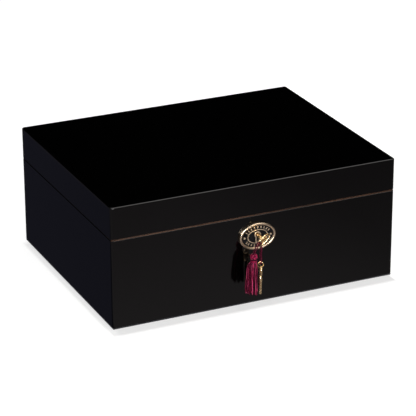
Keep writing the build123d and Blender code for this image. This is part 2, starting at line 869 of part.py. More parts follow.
def spare_parts():
    """Files the ring and the spare key that hang on the cord."""
    turn = math.radians(spare_turn)
    facing = (math.sin(turn), -math.cos(turn), 0)
    ring_place = Plane(origin=(spare_x, pendant_y, ring_height), z_dir=facing)
    keep("spare_key_ring", ring_place * Torus(ring_radius, ring_wire_radius))
    place = Plane(origin=(spare_x, pendant_y, spare_tip), x_dir=facing, z_dir=(0, 0, 1))
    keep("spare_key", place * key_solid())


def key_parts():
    """Files the keys, the cord and the tassel."""
    keep("lock_key", lock_key())
    keep("key_cord", key_cord())
    keep("tassel_head", tassel_head())
    keep("tassel_skirt", tassel_skirt())
    spare_parts()


# Shell of the chest and of the lid


def box_shell():
    """Files the four lacquered walls, the bottom, the felt and the lipping on the rim."""
    outside = rounded_block(half_width, half_depth, shell_bottom, wall_top, corner_radius)
    outside = chamfer(outside.faces().sort_by(Axis.Z)[-1].edges(), rim_chamfer)
    outside = fillet(outside.faces().sort_by(Axis.Z)[0].edges(), bottom_edge_radius)
    panel_top = shell_bottom + bottom_panel_thickness
    seat_x, seat_y = inner_x + rabbet_depth, inner_y + rabbet_depth
    rabbet = block(-seat_x, seat_x, -seat_y, seat_y, shell_bottom - 1, panel_top)
    hinges = [half for cutter in hinge_cutters(True) for half in both_sides(cutter)]
    boards = frame_boards(half_width, half_depth, wall, shell_bottom, wall_top)
    cutters = {"front": lock_pocket(), "back": hinges, "left": hinges, "right": hinges}
    for side, board in boards.items():
        keep(side + "_wall", cut(board & outside, [rabbet, *cutters[side]]))
    keep("bottom_panel", block(-seat_x, seat_x, -seat_y, seat_y, shell_bottom, panel_top))
    felt_x, felt_y = half_width - felt_inset, half_depth - felt_inset
    keep("base_felt", rounded_block(felt_x, felt_y, 0, felt_thickness, corner_radius))
    keep("rim_lipping", *lipping_strips(wall_top, rim, cutters))


def lipping_strips(z0, z1, cutters):
    """Four thin strips of bare wood along the seam."""
    half_x, half_y = half_width - lipping_setback, half_depth - lipping_setback
    outside = rounded_block(half_x, half_y, z0, z1, corner_radius - lipping_setback)
    strips = frame_boards(half_x, half_y, wall - lipping_setback, z0, z1)
    return [cut(strip & outside, cutters[side]) for side, strip in strips.items()]


def lid_shell():
    """Files the four rails of the lid, the panel on top and the lipping under the rails."""
    outside = rounded_block(half_width, half_depth, lid_wall_bottom, height, corner_radius)
    outside = chamfer(outside.faces().sort_by(Axis.Z)[0].edges(), rim_chamfer)
    outside = fillet(outside.faces().sort_by(Axis.Z)[-1].edges(), top_edge_radius)
    hinges = [half for cutter in hinge_cutters(False) for half in both_sides(cutter)]
    boards = frame_boards(half_width, half_depth, wall, lid_wall_bottom, lid_wall_top)
    cutters = {"front": strike_cutters(), "back": hinges, "left": hinges, "right": hinges}
    for side, board in boards.items():
        keep("lid_" + side + "_rail", cut(board & outside, cutters[side]))
    slab = block(-half_width, half_width, -half_depth, half_depth, lid_wall_top, height)
    keep("lid_top_panel", cut(slab & outside, hinges))
    keep("lid_rim_lipping", *lipping_strips(lid_rim, lid_wall_bottom, cutters))


# Cedar lining, tray and partitions


def box_liners():
    """Files the floor board and the four cedar boards whose tops make the lip."""
    floor_bottom = floor_top - floor_liner_thickness
    keep("floor_liner", block(-inner_x, inner_x, -inner_y, inner_y, floor_bottom, floor_top))
    low = frame_boards(inner_x, inner_y, liner, floor_top, rim)
    lip_x, lip_y = inner_x - lip_clearance, inner_y - lip_clearance
    high = frame_boards(lip_x, lip_y, liner - lip_clearance, rim, lip_top)
    crown = rounded_block(lip_x, lip_y, rim, lip_top, corner_radius)
    crown = chamfer(crown.faces().sort_by(Axis.Z)[-1].edges(), lip_bevel)
    for side in low:
        keep("liner_" + side, low[side] + (high[side] & crown))


def lid_liners():
    """Files the cedar ceiling of the lid and the four strips round it."""
    keep("lid_ceiling", block(-inner_x, inner_x, -inner_y, inner_y, lid_ceiling, lid_wall_top))
    strips = frame_boards(inner_x, inner_y, liner, lip_top + lid_liner_gap, lid_ceiling)
    keep("lid_liner_strips", *strips.values())


def tray_floor():
    """The tray's floor with rows of air slots."""
    half_x = tray_half_x - tray_board + tray_rabbet
    half_y = tray_half_y - tray_board + tray_rabbet
    board = block(-half_x, half_x, -half_y, half_y, tray_bottom, tray_bottom + tray_floor_thickness)
    slot = extrude(SlotOverall(floor_slot_length, floor_slot_width, rotation=90), tray_floor_thickness + 2)
    row_pitch = 2 * half_y / floor_slot_rows
    for row in range(floor_slot_rows):
        y = (row - (floor_slot_rows - 1) / 2) * row_pitch
        for column in range(floor_slots_in_row):
            x = (column - (floor_slots_in_row - 1) / 2) * floor_slot_pitch
            board -= Pos(x, y, tray_bottom - 1) * slot
    return board


def tray_parts():
    """Files the tray, its runners and both partitions."""
    boards = frame_boards(tray_half_x, tray_half_y, tray_board, tray_bottom, tray_top)
    seat_x = tray_half_x - tray_board + tray_rabbet
    seat_y = tray_half_y - tray_board + tray_rabbet
    rabbet = block(-seat_x, seat_x, -seat_y, seat_y, tray_bottom - 1, tray_bottom + tray_floor_thickness)
    notch_z = tray_top + notch_centre_rise
    notch = rod((-half_width, 0, notch_z), (half_width, 0, notch_z), notch_radius)
    keep("tray_long_sides", *[boards[side] - rabbet for side in ("front", "back")])
    keep("tray_left_end", boards["left"] - rabbet - notch)
    keep("tray_right_end", boards["right"] - rabbet - notch)
    keep("tray_floor", tray_floor())
    half = partition_thickness / 2
    reach = tray_half_y - tray_board - partition_clearance
    foot = tray_bottom + tray_floor_thickness + partition_foot_gap
    keep("tray_partition", block(-half, half, -reach, reach, foot, tray_top - partition_drop))
    reach = inner_y - liner - partition_clearance
    top = tray_bottom - runner_height - partition_headroom
    keep("lower_partition", block(-half, half, -reach, reach, floor_top + partition_foot_gap, top))
    wall_x = inner_x - liner
    wall_y = inner_y - liner
    runner_bottom = tray_bottom - runner_height
    runner = block(wall_x - runner_thickness, wall_x, -wall_y, wall_y, runner_bottom, tray_bottom)
    keep("tray_runners", *both_sides(runner))


# Hygrometer and humidifier


def hygrometer_parts():
    """Files the dial instrument, which looks down from the ceiling of the lid."""
    bottom = lid_ceiling - hygrometer_height
    inner = hygrometer_radius - bezel_width

    def disc(radius, z0, z1):
        return rod((0, hygrometer_y, z0), (0, hygrometer_y, z1), radius)

    case = disc(hygrometer_radius, bottom, lid_ceiling)
    case = fillet(case.edges().sort_by(Axis.Z)[0], bezel_width / 3)
    dial_top = bottom + dial_depth
    case -= disc(inner, bottom - 1, dial_top)
    keep("hygrometer_case", case)
    dial_bottom = dial_top - dial_thickness
    needle_top = dial_bottom - needle_stand
    needle_bottom = needle_top - needle_thickness
    post_radius = needle_hub_radius / 2
    dial = disc(inner - dial_clearance, dial_bottom, dial_top) + disc(post_radius, needle_bottom, dial_top)
    keep("hygrometer_dial", dial)
    tip = hygrometer_y - needle_length
    tail = hygrometer_y + needle_tail
    half = needle_width / 2
    corners = [(0, tip), (half, hygrometer_y), (half, tail), (-half, tail), (-half, hygrometer_y)]
    blade = make_face(Polyline(*corners, close=True))
    needle = Pos(0, 0, needle_bottom) * extrude(blade, needle_thickness)
    needle += disc(needle_hub_radius, needle_bottom, needle_top)
    needle -= disc(post_radius + dial_clearance, needle_bottom - 1, needle_top + 1)
    keep("hygrometer_needle", needle)
    lens_bottom = bottom + lens_setback
    keep("hygrometer_lens", disc(inner - dial_clearance, lens_bottom, lens_bottom + lens_thickness))


def rounded_pad(length, across, corner, z0, z1):
    """A round-cornered slab at the humidifier's place."""
    return Pos(0, humidifier_y, z0) * extrude(RectangleRounded(length, across, corner), z1 - z0)


def grille():
    """The pierced cover of the humidifier."""
    bottom = humidifier_bottom
    inset = 2 * humidifier_wall
    length, across = humidifier_length - inset, humidifier_width - inset
    corner = humidifier_corner - humidifier_wall
    plate = rounded_pad(length, across, corner, bottom, bottom + grille_thickness)
    slot = extrude(SlotOverall(grille_slot_length, grille_slot_width), grille_thickness + 2)
    for row in range(grille_rows):
        y = humidifier_y + (row - (grille_rows - 1) / 2) * grille_pitch_y
        for column in range(grille_slots_in_row):
            x = (column - (grille_slots_in_row - 1) / 2) * grille_pitch_x
            plate -= Pos(x, y, bottom - 1) * slot
    return plate


def humidifier_parts():
    """Files the humidifier's pan, its grille, the foam inside and the magnets that hold it."""
    bottom, top = humidifier_bottom, humidifier_top
    inset = 2 * humidifier_wall
    pan = rounded_pad(humidifier_length, humidifier_width, humidifier_corner, bottom, top)
    length, across = humidifier_length - inset, humidifier_width - inset
    corner = humidifier_corner - humidifier_wall
    pan -= rounded_pad(length, across, corner, bottom - 1, top - humidifier_wall)
    keep("humidifier_pan", pan)
    keep("humidifier_grille", grille())
    foam = rounded_pad(
        length - 2 * foam_clearance,
        across - 2 * foam_clearance,
        corner - foam_clearance,
        bottom + grille_thickness,
        top - humidifier_wall,
    )
    keep("humidifier_foam", foam)
    magnets = [
        rod((x, humidifier_y, top), (x, humidifier_y, lid_ceiling), magnet_radius)
        for x in (-magnet_spacing / 2, magnet_spacing / 2)
    ]
    keep("humidifier_magnets", *magnets)


def build():
    """Makes every node and writes each to its own file."""
    box_shell()
    lid_shell()
    box_liners()
    lid_liners()
    tray_parts()
    hinge_parts()
    lock_parts()
    escutcheon_parts()
    key_parts()
    hygrometer_parts()
    humidifier_parts()
    os.makedirs("parts", exist_ok=True)
    for name, solids in parts.items():
        export_step(Compound(solids), os.path.join("parts", name + ".step"))
    print(len(parts), "nodes,", sum(len(solids) for solids in parts.values()), "solids")


build()
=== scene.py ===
# %% [markdown]
# # A lacquered cigar chest
# The chest is a real cabinetmaker's object: boards of black lacquer, a thin line of bare wood
# along the seam, an oval escutcheon with its key, and a silk tassel that hangs on the key. The
# solids come from the CAD model, which is loaded first and never changed. This script adds what
# a solid can't hold: light, finishes, silk thread, foam, felt and the print on the dial.

# %% Load the frame
import math
import random

import bmesh
import bpy
from mathutils import Matrix, Vector


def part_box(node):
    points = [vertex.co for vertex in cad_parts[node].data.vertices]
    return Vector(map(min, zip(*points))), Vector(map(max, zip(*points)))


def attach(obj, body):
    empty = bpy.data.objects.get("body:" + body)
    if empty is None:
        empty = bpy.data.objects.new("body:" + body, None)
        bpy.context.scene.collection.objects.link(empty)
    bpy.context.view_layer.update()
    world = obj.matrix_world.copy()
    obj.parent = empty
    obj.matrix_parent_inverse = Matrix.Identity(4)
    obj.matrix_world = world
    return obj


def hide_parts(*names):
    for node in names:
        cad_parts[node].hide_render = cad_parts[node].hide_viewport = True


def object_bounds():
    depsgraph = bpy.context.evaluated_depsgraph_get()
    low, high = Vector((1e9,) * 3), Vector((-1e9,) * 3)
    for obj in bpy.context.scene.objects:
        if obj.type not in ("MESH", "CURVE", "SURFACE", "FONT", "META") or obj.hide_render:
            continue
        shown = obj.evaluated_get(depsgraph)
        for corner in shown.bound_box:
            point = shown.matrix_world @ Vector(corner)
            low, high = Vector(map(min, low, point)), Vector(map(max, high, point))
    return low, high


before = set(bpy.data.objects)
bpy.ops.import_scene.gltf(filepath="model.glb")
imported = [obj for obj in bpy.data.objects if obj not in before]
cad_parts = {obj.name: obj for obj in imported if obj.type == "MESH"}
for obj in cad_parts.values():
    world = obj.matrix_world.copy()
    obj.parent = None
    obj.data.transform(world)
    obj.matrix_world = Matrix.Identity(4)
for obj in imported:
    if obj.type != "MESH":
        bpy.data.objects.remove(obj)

cad_box = [list(corner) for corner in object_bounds()]
print("CAD nodes", len(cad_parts), "box", [[round(v, 4) for v in c] for c in cad_box])

# %% [markdown]
# ## Camera
# The photograph is taken a little from the left and from above with a long lens, so the upright
# edges stay nearly parallel. The camera's place was solved from the corners of the chest. The
# aim is turned into a rotation with to_track_quat, and a very small roll is added about the
# line of sight.

# %% Camera
camera_place = Vector((-1.07006, -2.33676, 1.13513))
camera_aim = Vector((0.00473, 0.0, 0.06974))
camera_roll = math.radians(-0.177)
focal_length, film_width = 181.93, 36.0

camera_data = bpy.data.cameras.new("photo_camera")
camera_data.lens = focal_length
camera_data.sensor_width = film_width
camera = bpy.data.objects.new("photo_camera", camera_data)
bpy.context.scene.collection.objects.link(camera)
look = (camera_aim - camera_place).to_track_quat("-Z", "Y").to_matrix().to_4x4()
roll = Matrix.Rotation(camera_roll, 4, "Z")
camera.matrix_world = Matrix.Translation(camera_place) @ look @ roll
bpy.context.scene.camera = camera
print("camera", [round(v, 3) for v in camera_place], "lens", camera_data.lens)

# %% [markdown]
# ## The cord
# One silk cord joins the tassel and the spare key. It leaves the tassel's head, goes up and over
# the low end of the key's bow, drops to the ring, goes round it, and comes back beside itself. A
# NURBS spline through a few points gives the smooth line of a limp cord. The spline cuts inside
# its control points, so each run has a point near the ring, where the cord has to turn sharply.

# %% Route of the cord
cord_diameter = 0.0016
front_run_y, back_run_y = -0.17910, -0.17540
cord_run = [
    # Place across, height
    (-0.0139, 0.0778),
    (-0.0139, 0.0802),
    (-0.009458, 0.085465),
    (-0.008658, 0.090965),
    (-0.004058, 0.090965),
    (-0.004058, 0.087065),
    (-0.00448, 0.0727),
    (-0.0046, 0.06295),
]
cord_points = [(x, front_run_y, z) for x, z in cord_run]
cord_points += [(x, back_run_y, z) for x, z in reversed(cord_run)]


def link(thing):
    """Puts an object in the scene and returns it."""
    bpy.context.scene.collection.objects.link(thing)
    return thing


def nurbs_route(name, points, twist_pitch=None):
    """A curve of one open NURBS spline. With a pitch, it is twisted once per that length."""
    curve = bpy.data.curves.new(name, "CURVE")
    curve.dimensions = "3D"
    curve.resolution_u = 24
    spline = curve.splines.new("NURBS")
    spline.points.add(len(points) - 1)
    along = 0.0
    for index, place in enumerate(points):
        if index and twist_pitch:
            along += (Vector(place) - Vector(points[index - 1])).length
        spline.points[index].co = (*place, 1.0)
        spline.points[index].tilt = 2 * math.pi * along / twist_pitch if twist_pitch else 0.0
    spline.order_u = 3
    spline.use_endpoint_u = True
    return link(bpy.data.objects.new(name, curve))


def curve_to_mesh(curve_object, name):
    """The curve's shape as a mesh object, and the curve is removed."""
    shown = curve_object.evaluated_get(bpy.context.evaluated_depsgraph_get())
    mesh = bpy.data.meshes.new_from_object(shown)
    mesh.name = name
    bpy.data.objects.remove(curve_object)
    return link(bpy.data.objects.new(name, mesh))


bare_route = curve_to_mesh(nurbs_route("cord_route", cord_points), "cord_route_line")
cord_line = [tuple(vertex.co) for vertex in bare_route.data.vertices]
bpy.data.objects.remove(bare_route)
cord_length = sum((Vector(b) - Vector(a)).length for a, b in zip(cord_line, cord_line[1:]))
print("cord line", len(cord_line), "points", round(cord_length * 1000, 1), "mm")

# %% [markdown]
# ## A rope's surface
# The cord is twisted from three plies. A round tube can't show that, so the section is a clover
# of three lobes, and the tilt of each point turns it steadily along the route. A curve's bevel
# object does this sweep.

# %% Twisted cord
ply_count, ply_groove, twist_pitch = 3, 0.00026, 0.0048


def clover(name, radius, lobes, depth, steps=8):
    """A closed section of a few round lobes."""
    curve = bpy.data.curves.new(name, "CURVE")
    spline = curve.splines.new("POLY")
    count = lobes * steps
    spline.points.add(count - 1)
    for index in range(count):
        angle = 2 * math.pi * index / count
        reach = radius - depth * (1 - abs(math.cos(lobes * angle / 2)))
        spline.points[index].co = (reach * math.cos(angle), reach * math.sin(angle), 0.0, 1.0)
    spline.use_cyclic_u = True
    return link(bpy.data.objects.new(name, curve))


section = clover("cord_section", cord_diameter / 2, ply_count, ply_groove)
twisted = nurbs_route("twisted_route", cord_points, twist_pitch)
twisted.data.bevel_mode = "OBJECT"
twisted.data.bevel_object = section
twisted.data.use_fill_caps = True
silk_cord = curve_to_mesh(twisted, "silk_cord")
bpy.data.objects.remove(section)
for face in silk_cord.data.polygons:
    face.use_smooth = True
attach(silk_cord, "tassel")
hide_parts("key_cord")
print("silk cord", len(silk_cord.data.polygons), "faces")

# %% [markdown]
# ## Colours and nodes
# Screens and paint charts give colours as sRGB, and Blender's shaders want linear light, so one
# function turns a hex code into linear values. One small function adds a node with its settings
# and links, and each finish is put together from its calls. A finish starts as a material with a
# Principled shader, and its patterns are laid out on the piece's own coordinates, in metres. A
# noise gets one over the size of its blotches as its scale. Its values lie mostly between 0.3
# and 0.7, so that range is what gets spread over a gloss from polished to dull.

# %% Colour and node helpers
MM = 0.001
NOISE_LOW, NOISE_HIGH = 0.3, 0.7
# A Mix node set to colours keeps its two colours and their mixture in these sockets.
MIX_FROM, MIX_TO, MIX_RESULT = 6, 7, 2


def linear(code):
    """A hex sRGB colour as linear red, green, blue and alpha."""
    shares = [int(code[place : place + 2], 16) / 255 for place in (1, 3, 5)]
    return [s / 12.92 if s <= 0.04045 else ((s + 0.055) / 1.055) ** 2.4 for s in shares] + [1.0]


def set_inputs(tree, node, inputs):
    """An input is a value, the socket that feeds it, or a node whose first output does."""
    for name, value in inputs.items():
        if isinstance(value, bpy.types.Node):
            value = value.outputs[0]
        if isinstance(value, bpy.types.NodeSocket):
            tree.links.new(value, node.inputs[name])
        else:
            node.inputs[name].default_value = value


def add_node(tree, kind, inputs=None, stops=(), **settings):
    """Adds a node with its inputs, its settings and, on a ramp, its stops of place and colour."""
    node = tree.nodes.new("ShaderNode" + kind)
    for name, value in settings.items():
        setattr(node, name, value)
    for index, (place, code) in enumerate(stops):
        marks = node.color_ramp.elements
        mark = marks[index] if index < len(marks) else marks.new(place)
        mark.position, mark.color = place, linear(code)
    set_inputs(tree, node, inputs or {})
    return node


def new_finish(name):
    """A material, its node tree, its Principled shader and the piece's own coordinates."""
    material = bpy.data.materials.new(name)
    material.use_nodes = True
    tree = material.node_tree
    place = add_node(tree, "TexCoord").outputs["Object"]
    return material, tree, tree.nodes["Principled BSDF"], place


print("white paper #FFFFFF is", linear("#FFFFFF"), "and mid grey #808080", linear("#808080")[0])

# %% [markdown]
# ## Black lacquer
# Polished polyester lacquer is sprayed thick and buffed, so it is nearly a mirror. Its body is
# black, and all that the eye sees on it is reflection. Real panels keep a very faint ripple
# called orange peel, a few millimetres across and thinner than a hair, and fine polishing haze.
# One noise is the haze, which varies the gloss, and a finer one is the ripple.

# %% Polished black lacquer
haze_size, peel_size, peel_depth = 20 * MM, 4.5 * MM, 0.012 * MM
lacquer, tree, shader, place = new_finish("polished_black_lacquer")
haze = add_node(tree, "TexNoise", {"Vector": place, "Scale": 1 / haze_size, "Detail": 3.0})
gloss = {"Value": haze, "From Min": 0.35, "From Max": 0.65, "To Min": 0.10, "To Max": 0.12}
peel = add_node(tree, "TexNoise", {"Vector": place, "Scale": 1 / peel_size, "Detail": 1.0})
polished = {"Base Color": linear("#010101"), "IOR": 1.5}
polished["Roughness"] = add_node(tree, "MapRange", gloss)
polished["Normal"] = add_node(tree, "Bump", {"Height": peel, "Distance": peel_depth})
set_inputs(tree, shader, polished)
print(lacquer.name, "ripple", peel_size / MM, "mm across and", peel_depth / MM, "mm deep")

# %% [markdown]
# ## Wood
# Spanish cedar is a soft, pinkish brown wood with straight grain and long dark pores. Growth
# rings cut lengthwise look like bands 3 to 6 mm apart that run along the board. Noise that a
# Mapping node stretches along the grain gives those bands, and a much finer one gives the pores.
# The same pattern is made once for boards along X and once for boards along Y. The lipping at the
# seam is a darker, oiled edge of mahogany with closer rings. It is bare along the front and the
# back. On the two sides its colour turns black close to the chest's side faces, whose place is
# read off the solids. This black is partly lacquer run over the wood and partly painted shade that
# keeps the seam dark on the sides. Pores are 0.2 mm wide or so. They are drawn 0.6 mm wide,
# because finer ones wouldn't show.

# %% Spanish cedar and the seam's wood
pore_size, pore_depth, pore_share = 0.6 * MM, 0.08 * MM, 0.55
pore_colours = [(0.0, "#8A6A52"), (0.42, "#C9B5A4"), (0.56, "#FFFFFF")]
# The lipping lies back from the side faces; the lacquer and painted shade reach onto it and fade.
lipping_setback, lacquer_and_shade_reach, lacquer_and_shade_fade = 0.7 * MM, 0.6 * MM, 0.5 * MM


def wood(name, along, colours, ring, lacquer_and_shade_from=None):
    """Planed wood, grain along X or Y, black past a distance from x = 0: lacquer and painted shade.
    """
    material, tree, shader, place = new_finish(name)
    stretch = {"X": (0.035, 1.0, 1.0), "Y": (1.0, 0.035, 1.0)}[along]
    fine_stretch = {"X": (0.02, 1.0, 1.0), "Y": (1.0, 0.02, 1.0)}[along]
    grain = add_node(tree, "Mapping", {"Vector": place, "Scale": stretch})
    rings = {"Vector": grain, "Scale": 1 / ring, "Detail": 4.0, "Roughness": 0.55}
    bands = add_node(tree, "TexNoise", {**rings, "Distortion": 0.3})
    fine_grain = add_node(tree, "Mapping", {"Vector": place, "Scale": fine_stretch})
    specks = {"Vector": fine_grain, "Scale": 1 / pore_size, "Roughness": 0.6}
    pores = add_node(tree, "TexNoise", specks)
    bare = {"Factor": pore_share}
    bare[MIX_FROM] = add_node(tree, "ValToRGB", {"Fac": bands}, stops=colours)
    bare[MIX_TO] = add_node(tree, "ValToRGB", {"Fac": pores}, stops=pore_colours)
    tone = add_node(tree, "Mix", bare, data_type="RGBA", blend_type="MULTIPLY")
    # Near the side faces the wood turns black: partly lacquer, partly painted shade on the seam.
    if lacquer_and_shade_from:
        across = add_node(tree, "SeparateXYZ", {"Vector": place}).outputs["X"]
        side = add_node(tree, "Math", {0: across}, operation="ABSOLUTE")
        edge = {"Value": side, "From Min": lacquer_and_shade_from, "From Max": lacquer_and_shade_from + lacquer_and_shade_fade}
        over = {"Factor": add_node(tree, "MapRange", edge)}
        over[MIX_FROM], over[MIX_TO] = tone.outputs[MIX_RESULT], linear("#060505")
        tone = add_node(tree, "Mix", over, data_type="RGBA")
    gloss = {"Value": bands, "From Min": NOISE_LOW, "From Max": NOISE_HIGH}
    gloss.update({"To Min": 0.42, "To Max": 0.62})
    relief = {"Height": pores, "Distance": pore_depth, "Strength": 0.6}
    planed = {"Base Color": tone.outputs[MIX_RESULT], "IOR": 1.45}
    planed["Roughness"] = add_node(tree, "MapRange", gloss)
    planed["Normal"] = add_node(tree, "Bump", relief)
    set_inputs(tree, shader, planed)
    return material


cedar_colours = [(0.28, "#9A6A48"), (0.45, "#B68359"), (0.58, "#C69A72"), (0.75, "#AE7850")]
cedar_ring, mahogany_ring = 5 * MM, 3 * MM
cedar_x = wood("spanish_cedar_along_x", "X", cedar_colours, cedar_ring)
cedar_y = wood("spanish_cedar_along_y", "Y", cedar_colours, cedar_ring)
mahogany_colours = [(0.30, "#2C1A0D"), (0.5, "#432815"), (0.7, "#50331D")]
half_width = max(abs(corner[0]) for corner in cad_box)
lacquer_and_shade_from = half_width - lipping_setback - lacquer_and_shade_reach
seam_wood = wood("oiled_mahogany", "X", mahogany_colours, mahogany_ring, lacquer_and_shade_from)
print("woods", [material.name for material in (cedar_x, cedar_y, seam_wood)])

# %% [markdown]
# ## Metals
# The escutcheon and the keys are cast brass with a thin gilt finish. The hinges are satin brass,
# brushed along the leaf. The lock and its bolt are nickel-plated steel. A metal's colour is its
# reflection, so each has metallic at 1, a pale base and a roughness for how far it was polished,
# broken by a very shallow waviness left from casting. The escutcheon's raised rim is buffed
# brighter than the ticks inside it, which the wheel can't reach: a Mapping node turns the oval
# into a circle of radius 1, and the distance from its middle tells rim from ticks. Brushed lines
# are really a few hundredths of a millimetre apart, and are drawn 0.3 mm apart so that they show.

# %% Gilt brass, satin brass and plated steel
cast_size, cast_depth, brush_size, brush_depth = 1.5 * MM, 0.02 * MM, 0.3 * MM, 0.01 * MM
rim_from, rim_to, rim_share = 0.86, 0.92, 0.62


def metal(name, code, rough, depth=cast_depth, brush=None, oval=None):
    """A metal with some waviness, lines brushed across a stretch, and a brighter rim to an oval."""
    material, tree, shader, place = new_finish(name)
    cast = add_node(tree, "TexNoise", {"Vector": place, "Scale": 1 / cast_size, "Detail": 3.0})
    haze = {"Value": cast, "From Min": NOISE_LOW, "From Max": NOISE_HIGH}
    gloss = add_node(tree, "MapRange", {**haze, "To Min": rough[0], "To Max": rough[1]})
    relief = cast
    if brush:
        drawn_out = add_node(tree, "Mapping", {"Vector": place, "Scale": brush})
        relief = add_node(tree, "TexNoise", {"Vector": drawn_out, "Scale": 1 / brush_size})
    if oval:
        spot = add_node(tree, "Mapping", {"Vector": place, **oval})
        reach = add_node(tree, "VectorMath", {0: spot}, operation="LENGTH").outputs["Value"]
        rim = {"Value": reach, "From Min": rim_from, "From Max": rim_to}
        buffed = add_node(tree, "MapRange", {**rim, "To Min": 1.0, "To Max": rim_share})
        gloss = add_node(tree, "Math", {0: gloss, 1: buffed}, operation="MULTIPLY")
    plate = {"Base Color": linear(code), "Metallic": 1.0, "Roughness": gloss}
    plate["Normal"] = add_node(tree, "Bump", {"Height": relief, "Distance": depth})
    set_inputs(tree, shader, plate)
    return material


corners = [Vector(corner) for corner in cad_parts["escutcheon"].bound_box]
half_x = (max(corner.x for corner in corners) - min(corner.x for corner in corners)) / 2
half_z = (max(corner.z for corner in corners) - min(corner.z for corner in corners)) / 2
middle_z = sum(corner.z for corner in corners) / len(corners)
oval = {"Scale": (1 / half_x, 0.0, 1 / half_z), "Location": (0.0, 0.0, -middle_z / half_z)}
gilt = metal("champagne_gilt_brass", "#F8DFC0", (0.36, 0.46), oval=oval)
key_gilt = metal("yellow_gilt_brass", "#F4D6A4", (0.20, 0.30))
along_y, along_x = (1.0, 0.03, 1.0), (0.03, 1.0, 1.0)
satin_brass = metal("brushed_satin_brass", "#DDB678", (0.38, 0.48), brush_depth, along_y)
plated = metal("nickel_plated_steel", "#BFC1C4", (0.24, 0.34), brush_depth, along_x)
magnet_plate = metal("nickel_plated_magnet", "#C9CACC", (0.16, 0.22), cast_depth / 4)
print("metals", [material.name for material in (gilt, key_gilt, satin_brass, plated, magnet_plate)])
print("escutcheon", round(2 * half_x / MM, 1), "by", round(2 * half_z / MM, 1), "mm")

# %% [markdown]
# ## Small finishes
# The escutcheon's ground is black stove enamel, with the slight sag of poured glass. The
# humidifier's case is moulded ABS with a fine spark texture, and the foam inside is the stiff
# green kind, full of open cells. The base is covered with wool felt, a mat of crossing fibres.
# The dial is printed card under an acrylic lens. But for the foam, one noise each is enough: it
# can drive the gloss, the colour and the relief together. Wool fibres, foam cells and the grit
# of the plastic are finer than the sizes given here, and are drawn this coarse so that they show.

# %% Enamel, plastic, foam, felt and the dial's finishes


def grained(name, size, fixed, rough=None, between=(0, 1), colours=None, depth=None, **noise):
    """A finish with one noise that drives its roughness, its colours and its relief, if given."""
    material, tree, shader, place = new_finish(name)
    grain = add_node(tree, "TexNoise", {"Vector": place, "Scale": 1 / size, **noise})
    finish = dict(fixed)
    if rough:
        gloss = {"Value": grain, "From Min": between[0], "From Max": between[1]}
        gloss.update({"To Min": rough[0], "To Max": rough[1]})
        finish["Roughness"] = add_node(tree, "MapRange", gloss)
    if colours:
        finish["Base Color"] = add_node(tree, "ValToRGB", {"Fac": grain}, stops=colours)
    if depth:
        finish["Normal"] = add_node(tree, "Bump", {"Height": grain, "Distance": depth})
    set_inputs(tree, shader, finish)
    return material


enamel = grained(
    "black_stove_enamel",
    2 * MM,
    {"Base Color": linear("#08080A"), "Roughness": 0.12, "IOR": 1.52},
    depth=0.02 * MM,
    Detail=1.0,
)
abs_plastic = grained(
    "moulded_black_abs",
    0.6 * MM,
    {"Base Color": linear("#17171A"), "IOR": 1.53},
    rough=(0.42, 0.56),
    between=(NOISE_LOW, NOISE_HIGH),
    depth=0.04 * MM,
)
felt_finish = grained(
    "charcoal_wool_felt",
    1.2 * MM,
    {"Roughness": 0.96, "IOR": 1.45, "Sheen Weight": 0.3},
    colours=[(NOISE_LOW, "#151517"), (NOISE_HIGH, "#2E2E32")],
    depth=0.3 * MM,
    Detail=5.0,
    Roughness=0.7,
    Distortion=1.5,
)
card = grained(
    "printed_dial_card",
    0.9 * MM,
    {"Roughness": 0.7, "IOR": 1.45},
    colours=[(NOISE_LOW, "#EDE8DA"), (NOISE_HIGH, "#F6F2E7")],
    depth=0.01 * MM,
    Detail=3.0,
)
lens = grained(
    "clear_acrylic_lens",
    6 * MM,
    {"Base Color": linear("#FBFDFD"), "IOR": 1.49, "Transmission Weight": 1.0},
    rough=(0.01, 0.05),
    between=(0.4, 0.7),
)
needle_paint = grained(
    "satin_black_needle",
    1 * MM,
    {"Base Color": linear("#131315"), "IOR": 1.5},
    rough=(0.30, 0.42),
)

cell_size, cell_depth = 0.9 * MM, 0.4 * MM
foam_finish, tree, shader, place = new_finish("open_cell_green_foam")
cells = add_node(tree, "TexVoronoi", {"Vector": place, "Scale": 1 / cell_size})
foam_colours = [(0.0, "#1E3A28"), (0.5, "#4E7A56")]
open_cells = {"Roughness": 0.95, "IOR": 1.4}
open_cells["Base Color"] = add_node(tree, "ValToRGB", {"Fac": cells}, stops=foam_colours)
open_cells["Normal"] = add_node(tree, "Bump", {"Height": cells, "Distance": cell_depth})
set_inputs(tree, shader, open_cells)
small_finishes = (enamel, abs_plastic, felt_finish, card, lens, needle_paint, foam_finish)
print("small finishes", [material.name for material in small_finishes])
